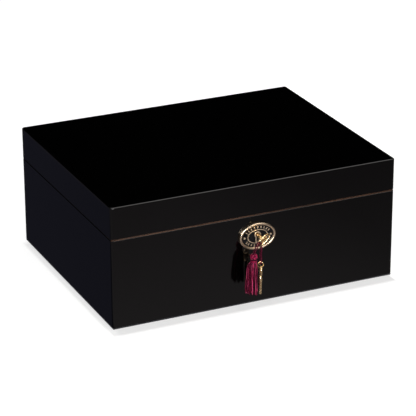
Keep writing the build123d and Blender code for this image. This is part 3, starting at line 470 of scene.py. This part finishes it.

# %% [markdown]
# ## Silk
# The tassel and cord are burgundy viscose, which is sold as art silk. Each thread is a shiny
# yarn of many filaments. Light that has gone through the dyed filaments comes back pinkish, so
# the gloss is weak and tinted pink. Every thread carries its own shade in an attribute named
# shade. It is partly dye, which never takes evenly, and partly painted light and shade: lighter
# over the tassel's shoulder, darker deep in the locks, at their edges and in the knob's core. A
# colour ramp turns it into a colour from the near black between threads to the painted light on
# their backs. Slanted bands stand for the filaments' twist, and lie further apart than the real
# ones so that they show.

# %% Burgundy silk
dye_size, twist_size, twist_depth = 1.2 * MM, 2.2 * MM, 0.04 * MM
# The ramp runs from painted shade between the threads to painted light on their backs.
silk_colours = [(0.26, "#100004"), (0.42, "#40041A"), (0.60, "#8A1A3E"), (0.82, "#D8527E")]
silk, tree, shader, place = new_finish("burgundy_viscose_silk")
own_shade = add_node(tree, "Attribute", attribute_name="shade").outputs["Fac"]
hanging = add_node(tree, "Mapping", {"Vector": place, "Scale": (1.0, 1.0, 0.25)})
dye = add_node(tree, "TexNoise", {"Vector": hanging, "Scale": 1 / dye_size})
both = add_node(tree, "Math", {0: own_shade, 1: dye}, operation="ADD")
half = add_node(tree, "Math", {0: both, 1: 0.5}, operation="MULTIPLY")
slanted = add_node(tree, "Mapping", {"Vector": place, "Rotation": (0.5, 0.5, 0.0)})
twist = {"Vector": slanted, "Scale": 1 / twist_size, "Distortion": 1.0}
yarn = add_node(tree, "TexWave", twist).outputs["Fac"]
relief = {"Height": yarn, "Distance": twist_depth, "Strength": 0.6}
dyed = {"IOR": 1.5, "Specular IOR Level": 0.22, "Specular Tint": linear("#FFA8C8")}
dyed["Base Color"] = add_node(tree, "ValToRGB", {"Fac": half}, stops=silk_colours)
dyed["Roughness"] = add_node(tree, "MapRange", {"Value": yarn, "To Min": 0.26, "To Max": 0.42})
dyed["Normal"] = add_node(tree, "Bump", relief)
set_inputs(tree, shader, dyed)
print(silk.name, "runs from", silk_colours[0][1], "to", silk_colours[-1][1])

# %% [markdown]
# ## The tassel
# A tassel is one bundle of threads folded over, tied at the neck and cut at the foot. The knob
# above the tie is a plait of doubled cord that is closed into a ring, the sailor's Turk's head,
# over a small core that is painted near black, as painted shade in the plait's gaps. A strand of a
# flat plait swings from side to side once while it goes over and under twice, so its height is a
# sine and its distance from the axis is a sine of twice the angle. Each bundle of threads is one
# curve with many splines and a round bevel, which stays light, and is made a mesh so that every
# thread can carry its own shade.

# %% Thread bundles
tassel_x, tassel_y = -0.0139, -0.17725
head_top, head_foot, skirt_foot = 0.0778, 0.0668, 0.0220


def thread_bundle(name, paths, thickness, shades, steps=2, roundness=0, glow=None):
    """One mesh of round threads along the paths, each in its shade times a painted light along it.
    """
    curve = bpy.data.curves.new(name, "CURVE")
    curve.dimensions = "3D"
    curve.bevel_depth = thickness / 2
    curve.bevel_resolution = roundness
    curve.resolution_u = steps
    curve.use_fill_caps = True
    for path in paths:
        spline = curve.splines.new("NURBS")
        spline.points.add(len(path) - 1)
        for point, place in zip(spline.points, path):
            point.co = (*place, 1.0)
        spline.order_u = 3
        spline.use_endpoint_u = True
    bundle = curve_to_mesh(link(bpy.data.objects.new(name, curve)), name)
    mesh = bundle.data
    shade = mesh.attributes.new("shade", "FLOAT", "POINT")
    per_thread = len(mesh.vertices) / len(paths)
    for index in range(len(mesh.vertices)):
        thread = min(int(index / per_thread), len(paths) - 1)
        along = index / per_thread - thread
        shade.data[index].value = shades[thread] * (glow(along) if glow else 1.0)
    for face in mesh.polygons:
        face.use_smooth = True
    mesh.materials.append(silk)
    return bundle


def round_axis(radius, height, angle):
    """A point at that radius, height and angle about the tassel's axis."""
    return (
        tassel_x + radius * math.cos(angle),
        tassel_y + radius * math.sin(angle),
        height,
    )


# %% Knob of the tassel
leads, bights, steps_per_bight = 3, 5, 14
knob_middle, knob_reach, knob_girth = head_top - 0.0042, 0.0033, 0.0041
knob_taper = 0.62
strand_width, strand_rise, strand_gap = 0.00145, 0.00042, 0.21
strand_shade, shade_step = 0.56, 0.14
knob_paths, knob_shades = [], []
for side in (-1, 1):
    path = []
    for step in range(bights * steps_per_bight + 1):
        share = step / (bights * steps_per_bight)
        wave = 2 * math.pi * bights * share + strand_gap * side
        height = knob_middle + knob_reach * math.sin(wave)
        # The knob is a ball: its girth shrinks towards both of its ends.
        girth = knob_girth * math.sqrt(1 - knob_taper * math.sin(wave) ** 2)
        radius = girth + strand_rise * math.sin(2 * wave)
        path.append(round_axis(radius, height, 2 * math.pi * leads * share))
    knob_paths.append(path)
    knob_shades.append(strand_shade + shade_step * side)
tassel_knob = thread_bundle(
    "tassel_knob_threads", knob_paths, strand_width, knob_shades, roundness=1
)


def keep_shape(name, shape, smooth=False):
    """Turns a finished bmesh into an object of that name, and frees it."""
    mesh = bpy.data.meshes.new(name)
    shape.to_mesh(mesh)
    shape.free()
    for face in mesh.polygons:
        face.use_smooth = smooth
    return link(bpy.data.objects.new(name, mesh))


def spun(name, profile, steps=40):
    """A solid turned about the tassel's axis from a few points of radius and height."""
    shape = bmesh.new()
    points = [shape.verts.new((tassel_x + radius, tassel_y, height)) for radius, height in profile]
    edges = [shape.edges.new(pair) for pair in zip(points, points[1:])]
    bmesh.ops.spin(
        shape,
        geom=[*points, *edges],
        cent=(tassel_x, tassel_y, 0.0),
        axis=(0.0, 0.0, 1.0),
        dvec=(0.0, 0.0, 0.0),
        angle=2 * math.pi,
        steps=steps,
        use_merge=True,
    )
    bmesh.ops.remove_doubles(shape, verts=shape.verts, dist=1e-6)
    bmesh.ops.recalc_face_normals(shape, faces=shape.faces)
    return keep_shape(name, shape, smooth=True)


core_profile = [
    # Radius, height
    (0.0, head_top - 0.0001),
    (0.0018, head_top - 0.0001),
    (0.0028, head_top - 0.0009),
    (0.0036, head_top - 0.0026),
    (0.0039, head_top - 0.0044),
    (0.0034, head_top - 0.0066),
    (0.0031, head_top - 0.0086),
    (0.0034, head_foot),
    (0.0, head_foot - 0.0002),
]
knob_core = spun("tassel_knob_core", core_profile)
print("plait", len(tassel_knob.data.polygons), "faces, core", len(knob_core.data.polygons))

# %% [markdown]
# The tie is a thread wound five times round the neck. A helix with a small bulge gives it: the
# turns lie side by side and swell in the middle, where the bundle pushes them out.

# %% Binding of the neck
binding_turns, steps_per_turn = 5, 12
neck_radius, binding_bulge, binding_width = 0.0037, 0.00025, 0.00062
binding_top, binding_height, binding_shade = head_foot + 0.0023, 0.0022, 0.6
binding_path = []
for step in range(binding_turns * steps_per_turn + 1):
    turn = 2 * math.pi * step / steps_per_turn
    share = step / (binding_turns * steps_per_turn)
    bulge = binding_bulge * math.sin(math.pi * share)
    height = binding_top - binding_height * share
    binding_path.append(round_axis(neck_radius + bulge, height, turn))
binding = thread_bundle("tassel_binding", [binding_path], binding_width, [binding_shade])
print("binding", binding_turns, "turns", len(binding.data.polygons), "faces")

# %% [markdown]
# The skirt is 360 threads. They leave the neck together, swell over a shoulder and hang straight
# to a cut foot that leans a little to the left. Real threads cling to their neighbours, so they
# fall in 24 locks with dark gaps between. Each lock has its own lean, length and shade, and each
# thread strays a little from its lock. A thread at a lock's edge or deep inside is painted darker,
# as painted shade, since less light reaches it there. Along its length the silk is painted lighter
# over the shoulder and darker in the lower half, as painted light and shade.

# %% Skirt of the tassel
skirt_profile = [
    # Below the neck, radius, lean to the left
    (0.0, 0.0032, 0.0),
    (0.002, 0.0046, 0.0006),
    (0.0055, 0.0063, 0.0016),
    (0.011, 0.0071, 0.0022),
    (0.023, 0.0074, 0.0027),
    (0.031, 0.0081, 0.0030),
    (0.046, 0.0086, 0.0030),
]


def skirt_at(drop):
    """The skirt's radius and lean at a height below the neck."""
    for (above, *start), (below, *end) in zip(skirt_profile, skirt_profile[1:]):
        if drop <= below:
            share = (drop - above) / (below - above)
            return [a + (b - a) * share for a, b in zip(start, end)]
    return skirt_profile[-1][1:]


def shoulder_glow(along):
    """Painted light and shade on silk: lightest over the shoulder, darkest in the lower half."""
    return 0.5 + 1.3 * math.exp(-(((along - 0.10) / 0.2) ** 2)) + 0.1 * along


skirt_chance = random.Random(29)
locks, threads_in_lock, steps_down = 24, 15, 12
skirt_top, thread_width = head_foot + 0.0006, 0.00052
lock_shades, painted_edge_shade = (0.15, 0.45, 0.8, 1.1, 1.2), 4.0
skirt_paths, skirt_shades = [], []
for lock in range(locks):
    middle = 2 * math.pi * (lock + skirt_chance.uniform(-0.3, 0.3)) / locks
    lock_out = skirt_chance.uniform(0.70, 1.06)
    lock_foot = skirt_foot + skirt_chance.uniform(0.0002, 0.0050)
    lock_shade = skirt_chance.choice(lock_shades)
    sway = skirt_chance.uniform(-0.24, 0.24)
    swell = skirt_chance.uniform(0.2, 0.6)
    phase = skirt_chance.uniform(0, 6)
    for thread in range(threads_in_lock):
        # A thread is fully out on the skirt at 1, and nearer to the axis below that.
        deep = math.sqrt(skirt_chance.uniform(0.08, 1.0))
        across = skirt_chance.gauss(0.0, 0.055)
        stray, ripple = skirt_chance.uniform(-0.05, 0.05), skirt_chance.uniform(0, 6)
        foot = lock_foot + skirt_chance.uniform(0.0, 0.0030) + 0.004 * abs(across)
        path = []
        for step in range(steps_down):
            # The steps lie closer at the top, where the thread bends over the shoulder.
            share = (step / (steps_down - 1)) ** 1.25
            drop = (skirt_top - foot) * share
            reach, lean = skirt_at(drop)
            reach *= 0.45 + 0.55 * deep if share < 0.06 else 0.32 + 0.68 * deep
            reach *= 1 + (lock_out - 1) * min(1.0, share * 3)
            # A lock waves in and out, its threads a little each, and it sways sideways.
            wave = 0.00045 * math.sin(9 * share + phase)
            wave += 0.00016 * math.sin(14 * share + ripple)
            reach += share * wave
            bend = sway * math.sin(swell * 9 * share + phase) * share**0.5
            turn = middle + across * (1 - 0.25 * share) + bend + stray * share
            x, y, z = round_axis(reach, skirt_top - drop, turn)
            path.append((x - lean, y, z))
        skirt_paths.append(path)
        # Painted shade: threads deep in a lock and at its edges are darker.
        shade = lock_shade * (0.25 + 0.75 * deep) - painted_edge_shade * abs(across)
        shade += skirt_chance.uniform(-0.28, 0.28)
        skirt_shades.append(min(1.0, max(0.0, shade)))
# The skirt's threads carry painted light over the shoulder and painted shade lower down.
skirt = thread_bundle(
    "tassel_skirt_threads", skirt_paths, thread_width, skirt_shades, steps=1, glow=shoulder_glow
)
print("skirt", len(skirt_paths), "threads", len(skirt.data.polygons), "faces")

# %% The tassel's pieces ride on its body


def even_silk(piece, value):
    """Silk in one shade all over a piece."""
    shade = piece.data.attributes.new("shade", "FLOAT", "POINT")
    shade.data.foreach_set("value", [value] * len(piece.data.vertices))
    piece.data.materials.append(silk)


# The knob's core is painted near black, as painted shade in the gaps of the plait.
cord_shade, core_painted_shade = 0.34, 0.0
even_silk(silk_cord, cord_shade)
even_silk(knob_core, core_painted_shade)
for piece in (tassel_knob, knob_core, binding, skirt):
    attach(piece, "tassel")
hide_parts("tassel_head")
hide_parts("tassel_skirt")
print("tassel", [piece.name for piece in (tassel_knob, knob_core, binding, skirt)])

# %% [markdown]
# ## Foam and felt
# Both are soft, so they get their own meshes. The foam block is a cube that is scaled and
# bevelled to the size of the solid it stands for. The felt is a thin cut sheet with a rounded
# rim, glued under the base.

# %% Foam insert and base felt


def slab(name, low, high, edge):
    """A block between two corners with softened edges."""
    shape = bmesh.new()
    bmesh.ops.create_cube(shape, size=1.0)
    size = [b - a for a, b in zip(low, high)]
    middle = [(a + b) / 2 for a, b in zip(low, high)]
    bmesh.ops.scale(shape, vec=size, verts=shape.verts)
    bmesh.ops.translate(shape, vec=middle, verts=shape.verts)
    bmesh.ops.bevel(
        shape,
        geom=shape.edges[:],
        offset=edge,
        affect="EDGES",
        segments=3,
        profile=0.5,
        material=-1,
    )
    return keep_shape(name, shape, smooth=True)


foam_edge, felt_edge = 1.2 * MM, 0.6 * MM
foam_low, foam_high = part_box("humidifier_foam")
foam = slab("foam_insert", foam_low, foam_high, foam_edge)
foam.data.materials.append(foam_finish)
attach(foam, "humidifier")
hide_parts("humidifier_foam")

felt_low, felt_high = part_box("base_felt")
felt = slab("wool_felt_base", felt_low, felt_high, felt_edge)
felt.data.materials.append(felt_finish)
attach(felt, "chest")
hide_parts("base_felt")
print("foam", [round(v, 3) for v in foam_high - foam_low])

# %% [markdown]
# ## The hygrometer's print
# The dial looks down when the lid is shut, and is read with the lid open, so its top is towards
# the lid's front edge. Ticks, numbers and a coloured band are thin raised shapes, a few
# hundredths of a millimetre of ink. Each tick is a cube that is scaled, moved out and turned.
# They are drawn facing up about the dial's middle, and then turned over onto the card.

# %% Ticks of the dial
case_low, case_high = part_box("hygrometer_case")
card_under_rim, card_thickness, ink_depth = 0.0052, 0.0006, 0.00005
dial_y = (case_low.y + case_high.y) / 2
dial_face = case_low.z + card_under_rim - card_thickness
tick_reach, tick_edge = 0.0196, 0.000015
long_tick, short_tick = (0.00045, 0.0026), (0.00022, 0.0014)


def dial_angle(percent):
    """The clockwise angle from the dial's top for a reading from 0 to 100."""
    return math.radians(-135.0 + 2.7 * percent)


def turn_to_dial(thing):
    """Turns a flat mesh drawn facing up so that it faces down on the dial."""
    facing_down = Matrix.Rotation(math.pi, 4, "X")
    thing.data.transform(Matrix.Translation((0.0, dial_y, dial_face)) @ facing_down)


ticks = bmesh.new()
for percent in range(0, 101, 2):
    across, length = short_tick if percent % 10 else long_tick
    made = bmesh.ops.create_cube(ticks, size=1.0)["verts"]
    bmesh.ops.scale(ticks, vec=(across, length, ink_depth), verts=made)
    bmesh.ops.translate(ticks, vec=(0.0, tick_reach - length / 2, 0.0), verts=made)
    turn = Matrix.Rotation(-dial_angle(percent), 3, "Z")
    bmesh.ops.rotate(ticks, cent=(0.0, 0.0, 0.0), matrix=turn, verts=made)
bmesh.ops.bevel(
    ticks,
    geom=ticks.edges[:],
    offset=tick_edge,
    affect="EDGES",
    segments=1,
    profile=0.5,
    material=-1,
)
dial_ticks = keep_shape("dial_ticks", ticks)
turn_to_dial(dial_ticks)
print("dial", len(dial_ticks.data.polygons), "faces of ticks")

# %% Bands of the dial


def dial_band(name, low, high, inner, outer):
    """A flat arc between two readings."""
    shape = bmesh.new()
    start = dial_angle(low)
    ends = []
    for radius in (inner, outer):
        place = (radius * math.sin(start), radius * math.cos(start), ink_depth / 2)
        ends.append(shape.verts.new(place))
    edge = shape.edges.new(ends)
    bmesh.ops.spin(
        shape,
        geom=[*ends, edge],
        cent=(0.0, 0.0, 0.0),
        axis=(0.0, 0.0, -1.0),
        dvec=(0.0, 0.0, 0.0),
        angle=dial_angle(high) - start,
        steps=max(4, int(high - low)),
        use_merge=False,
    )
    bmesh.ops.solidify(shape, geom=shape.faces[:], thickness=ink_depth)
    bmesh.ops.recalc_face_normals(shape, faces=shape.faces)
    band = keep_shape(name, shape)
    turn_to_dial(band)
    return band


green_band = dial_band("dial_green_band", 65, 75, 0.0160, 0.0169)
grey_band = dial_band("dial_arc", 0, 100, 0.01985, 0.0200)
print("bands", green_band.name, "and", grey_band.name)

# %% Numbers of the dial
number_reach, number_size = 0.0149, 0.0029
percent_reach, percent_size = 0.0105, 0.0034


def dial_text(name, words, size, place):
    """Flat raised lettering with its middle at a place on the dial."""
    text = bpy.data.curves.new(name, "FONT")
    text.body = words
    text.size = size
    text.align_x = "CENTER"
    text.align_y = "CENTER"
    text.extrude = ink_depth / 2
    letters = curve_to_mesh(link(bpy.data.objects.new(name, text)), name)
    letters.data.transform(Matrix.Translation(place))
    return letters


numbers = []
for percent in range(0, 101, 10):
    angle = dial_angle(percent)
    place = (number_reach * math.sin(angle), number_reach * math.cos(angle), 0.0)
    numbers.append(dial_text(f"dial_number_{percent}", str(percent), number_size, place))
numbers.append(dial_text("dial_percent", "%", percent_size, (0.0, -percent_reach, 0.0)))
for piece in numbers:
    turn_to_dial(piece)
print("numbers", [piece.name for piece in numbers])

# %% Ink of the dial
ink_black = {"Base Color": linear("#1A1A1C"), "IOR": 1.45}
ink = grained("black_screen_ink", 0.4 * MM, ink_black, rough=(0.45, 0.60))
ink_greens = [(NOISE_LOW, "#2F7A45"), (NOISE_HIGH, "#3C8C52")]
green_ink = grained(
    "green_screen_ink", 0.8 * MM, {"Roughness": 0.5, "IOR": 1.45}, colours=ink_greens
)
for piece in (dial_ticks, grey_band, *numbers):
    piece.data.materials.append(ink)
green_band.data.materials.append(green_ink)
for piece in (dial_ticks, green_band, grey_band, *numbers):
    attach(piece, "lid")
print("inks", ink.name, "and", green_ink.name)

# %% [markdown]
# ## Finishes on the solids
# Each CAD node gets the finish of what it is. The nodes' meshes are loose triangles, so a Weld
# joins them before a Bevel breaks the sharp edges of the small metal and wooden parts, as a file
# or a sheet of abrasive does on the bench. Blender's Weld and Bevel are modifiers, so the solids
# themselves stay as they came.

# %% Give every node its finish
finish_of = {
    "front_wall back_wall left_wall right_wall bottom_panel": lacquer,
    "lid_top_panel lid_front_rail lid_back_rail lid_left_rail lid_right_rail": lacquer,
    "rim_lipping lid_rim_lipping": seam_wood,
    "floor_liner liner_front liner_back lid_ceiling lid_liner_strips": cedar_x,
    "liner_left liner_right tray_runners tray_left_end tray_right_end": cedar_y,
    "tray_long_sides tray_floor": cedar_x,
    "tray_partition lower_partition": cedar_y,
    "escutcheon hygrometer_case": gilt,
    "lock_key spare_key spare_key_ring": key_gilt,
    "escutcheon_enamel": enamel,
    "lock_case lock_cover lock_faceplate lock_bolt strike_plate": plated,
    "faceplate_screws strike_screws hinge_box_screws hinge_lid_screws": satin_brass,
    "left_hinge_box_leaf right_hinge_box_leaf left_hinge_lid_leaf": satin_brass,
    "right_hinge_lid_leaf left_hinge_pin right_hinge_pin": satin_brass,
    "left_quadrant_arm right_quadrant_arm": satin_brass,
    "humidifier_pan humidifier_grille": abs_plastic,
    "humidifier_foam": foam_finish,
    "base_felt": felt_finish,
    "humidifier_magnets": magnet_plate,
    "hygrometer_dial": card,
    "hygrometer_lens": lens,
    "hygrometer_needle": needle_paint,
    "key_cord tassel_head tassel_skirt": silk,
}
finished = set()
for names, finish in finish_of.items():
    for name in names.split():
        for material_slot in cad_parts[name].material_slots:
            material_slot.material = finish
        finished.add(name)
print("finished", len(finished), "nodes, left over:", sorted(set(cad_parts) - finished))

# %% Break the sharp edges
weld_reach, sharp_from = 0.000005, math.radians(35.0)
softened = {
    "escutcheon": 0.00042,
    "lock_key spare_key": 0.00015,
    "tray_left_end tray_right_end tray_long_sides tray_partition lower_partition": 0.0006,
    "liner_front liner_back liner_left liner_right": 0.0004,
    "lock_faceplate strike_plate left_hinge_box_leaf right_hinge_box_leaf": 0.0002,
    "left_hinge_lid_leaf right_hinge_lid_leaf": 0.0002,
    "humidifier_grille humidifier_pan": 0.0003,
}
for names, edge in softened.items():
    for name in names.split():
        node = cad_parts[name]
        weld = node.modifiers.new("join_triangles", "WELD")
        weld.merge_threshold = weld_reach
        bevel = node.modifiers.new("broken_edge", "BEVEL")
        bevel.width = edge
        bevel.segments = 3 if name == "escutcheon" else 2
        bevel.limit_method = "ANGLE"
        bevel.angle_limit = sharp_from
        bevel.harden_normals = True
print("bevelled", sum(len(names.split()) for names in softened), "nodes")

# %% [markdown]
# ## The studio
# A glossy black object shows whatever stands round it. In the photograph the lid's top reflects
# nothing, the front and the left side reflect a dim table, and the lid's edges catch thin bright
# lines. So the studio is a pale floor with soft lamps, and cards that only reflections see, as a
# photographer puts them just outside the picture: dim ones flat on the table and a dark wall all
# round, above which the white sky gives the lid's edge its line.
#
# The floor looks white to the camera and to reflections, through the Light Path node, and keeps
# the chest's own shadow. Close to the chest's foot a painted shadow makes it pale grey as well.
# That painted band comes from the distance to the edge of a rectangle, a little to the left of
# the chest and in front of it. The floor is clear from beneath and under the chest, so that the
# felt shows in a view from below.

# %% Floor


def bare_tree(owner):
    """The emptied node tree of a material or a world."""
    owner.use_nodes = True
    owner.node_tree.nodes.clear()
    return owner.node_tree


def stage_plane(name, low, high, height):
    """A flat rectangle of the stage."""
    shape = bmesh.new()
    bmesh.ops.create_grid(shape, x_segments=1, y_segments=1, size=0.5)
    size = (high[0] - low[0], high[1] - low[1], 1.0)
    middle = ((low[0] + high[0]) / 2, (low[1] + high[1]) / 2, height)
    bmesh.ops.scale(shape, vec=size, verts=shape.verts)
    bmesh.ops.translate(shape, vec=middle, verts=shape.verts)
    thing = keep_shape(name, shape)
    return thing


def seen_rays(tree):
    """1 for rays from the camera, from reflections and through glass, and 0 for the rest."""
    rays = add_node(tree, "LightPath").outputs
    direct = {0: rays["Is Camera Ray"], 1: rays["Is Glossy Ray"]}
    either = add_node(tree, "Math", direct, operation="MAXIMUM")
    through = {0: either, 1: rays["Is Transmission Ray"]}
    return add_node(tree, "Math", through, operation="MAXIMUM")


floor_paint = bpy.data.materials.new("pale_floor")
tree = bare_tree(floor_paint)
place = add_node(tree, "TexCoord").outputs["Object"]
along = add_node(tree, "SeparateXYZ", {"Vector": place}).outputs
reach = []
# For each axis: how far the rectangle is moved, half its size, and the share of the distance
# that counts, which makes the band in front twice as wide as the one at the side.
for axis, shift, half, share in (("X", 0.0046, 0.197, 1.0), ("Y", 0.0148, 0.1565, 0.5)):
    moved = add_node(tree, "Math", {0: along[axis], 1: shift}, operation="ADD")
    off = add_node(tree, "Math", {0: moved}, operation="ABSOLUTE")
    past = add_node(tree, "Math", {0: off, 1: half}, operation="SUBTRACT")
    reach.append(add_node(tree, "Math", {0: past, 1: share}, operation="MULTIPLY"))
outside = add_node(tree, "Math", {0: reach[0], 1: reach[1]}, operation="MAXIMUM")
# Painted shadow: near the chest's foot the floor's paint and its glow are both lowered.
band = {"Value": outside, "From Min": -0.0005, "From Max": 0.0045}
tone = add_node(tree, "MapRange", {**band, "To Min": 0.28, "To Max": 0.55})
paint = add_node(tree, "BsdfDiffuse", {"Color": tone})
# The painted shadow band is painted lighter along the chest's left side.
left = {"Value": along["X"], "From Min": -0.199, "From Max": -0.190}
foot = add_node(tree, "MapRange", {**left, "To Min": 0.66, "To Max": 0.56})
white = add_node(tree, "MapRange", {**band, "To Min": foot, "To Max": 0.74})
shown = add_node(tree, "Math", {0: seen_rays(tree), 1: white}, operation="MULTIPLY")
glow = add_node(tree, "Emission", {"Strength": shown})
pale = add_node(tree, "AddShader", {0: paint, 1: glow})
beneath = add_node(tree, "NewGeometry").outputs["Backfacing"]
covered = add_node(tree, "Math", {0: outside, 1: -0.008}, operation="LESS_THAN")
unseen = add_node(tree, "Math", {0: beneath, 1: covered}, operation="MAXIMUM")
clear = add_node(tree, "BsdfTransparent")
surface = add_node(tree, "MixShader", {"Fac": unseen, 1: pale, 2: clear})
add_node(tree, "OutputMaterial", {"Surface": surface})
# The floor lies a hair under the felt, so that the two never share a plane.
floor = stage_plane("pale_floor", (-12.0, -12.0), (12.0, 12.0), -0.0003)
floor.data.materials.append(floor_paint)
print("floor", floor.name, "24 m square")

# %% Dim cards for the reflections


def card_glow(name, near_colour, far_colour, axis="X", near=0.0, far=1.0, right_share=1.0):
    """A glow from one colour to another along an axis, that falls to a share at the right."""
    material = bpy.data.materials.new(name)
    tree = bare_tree(material)
    place = add_node(tree, "TexCoord").outputs["Object"]
    along = add_node(tree, "SeparateXYZ", {"Vector": place}).outputs
    distance = {"Value": along[axis], "From Min": near, "From Max": far}
    colours = {"Factor": add_node(tree, "MapRange", distance)}
    colours[MIX_FROM], colours[MIX_TO] = linear(near_colour), linear(far_colour)
    mixed = add_node(tree, "Mix", colours, data_type="RGBA").outputs[MIX_RESULT]
    right = {"Value": along["X"], "From Min": 0.03, "From Max": 0.25}
    strength = add_node(tree, "MapRange", {**right, "To Min": 1.0, "To Max": right_share})
    glow = add_node(tree, "Emission", {"Color": mixed, "Strength": strength})
    add_node(tree, "OutputMaterial", {"Surface": glow})
    return material


# The lacquer reflects about a twentieth of these colours when it is looked at straight on.
table_glow, near_glow, far_glow, wall_glow = "#343440", "#898485", "#706A6C", "#010101"
table_height, card_height, wall_radius, wall_height = 0.0004, 0.0008, 5.0, 5.6

table_card = stage_plane("dim_table_card", (-6.0, -6.0), (6.0, 6.0), table_height)
table_paint = card_glow("dim_table_card", table_glow, far_glow, "X", -0.38, -0.64)
front_card = stage_plane("grey_front_card", (-6.0, -6.0), (6.0, -0.1585), card_height)
front_paint = card_glow("grey_front_card", near_glow, far_glow, "Y", -0.16, -0.50, 0.64)
back_card = stage_plane("grey_back_card", (-0.19, 0.1585), (6.0, 6.0), card_height)
back_paint = card_glow("grey_back_card", near_glow, far_glow, "Y", 0.16, 0.50)
right_card = stage_plane("grey_right_card", (0.1985, -0.1585), (6.0, 0.1585), card_height)
right_paint = card_glow("grey_right_card", near_glow, far_glow, "X", 0.20, 0.54)

ring = bmesh.new()
bmesh.ops.create_circle(ring, cap_ends=False, segments=48, radius=wall_radius)
made = bmesh.ops.extrude_edge_only(ring, edges=ring.edges[:])["geom"]
top = [part for part in made if isinstance(part, bmesh.types.BMVert)]
bmesh.ops.translate(ring, vec=(0.0, 0.0, wall_height), verts=top)
wall_card = keep_shape("dark_surround", ring)
wall_paint = card_glow("dark_surround", wall_glow, wall_glow)

cards = (table_card, front_card, back_card, right_card, wall_card)
paints = (table_paint, front_paint, back_paint, right_paint, wall_paint)
for card_piece, paint in zip(cards, paints):
    card_piece.data.materials.append(paint)
    card_piece.visible_camera = False
    card_piece.visible_diffuse = False
    card_piece.visible_transmission = False
    card_piece.visible_shadow = False
print("cards", [card_piece.name for card_piece in cards])

# %% [markdown]
# Three soft boxes light the chest. The large one overhead, to the right and in front, gives the
# metal its form and the chest its shadow. A small one at the left lights the tassel and the left
# of the escutcheon, and a low strip in front lifts the threads and the inside of the keys' bows.
# The world lights evenly and weakly, and shows white to the camera and to reflections.

# %% Lamps and sky
chest_middle = Vector((0.0, 0.0, 0.08))


def soft_box(name, direction, distance, size, power, colour="#FFFFFF"):
    """A soft box that looks at the chest's middle from a direction."""
    data = bpy.data.lights.new(name, "AREA")
    data.shape = "RECTANGLE"
    data.size, data.size_y = size
    data.energy = power
    data.color = linear(colour)[:3]
    lamp = link(bpy.data.objects.new(name, data))
    place = Vector(direction).normalized() * distance + chest_middle
    turn = (chest_middle - place).to_track_quat("-Z", "Y").to_matrix().to_4x4()
    lamp.matrix_world = Matrix.Translation(place) @ turn


soft_box("overhead_soft_box", (0.42, -0.40, 0.91), 2.0, (1.7, 1.7), 13.0, "#FFF8F3")
soft_box("left_soft_box", (-0.62, -0.54, 0.60), 2.2, (0.55, 0.55), 13.0)
soft_box("low_strip_box", (-0.15, -0.97, 0.09), 1.7, (0.9, 0.26), 20.0)

world = bpy.data.worlds.new("white_studio")
bpy.context.scene.world = world
tree = bare_tree(world)
seen = seen_rays(tree)
strength = add_node(tree, "MapRange", {"Value": seen, "To Min": 0.36, "To Max": 1.0})
sky = add_node(tree, "Background", {"Color": linear("#FFFFFF"), "Strength": strength})
add_node(tree, "OutputWorld", {"Surface": sky})
bpy.context.scene.view_settings.view_transform = "Standard"
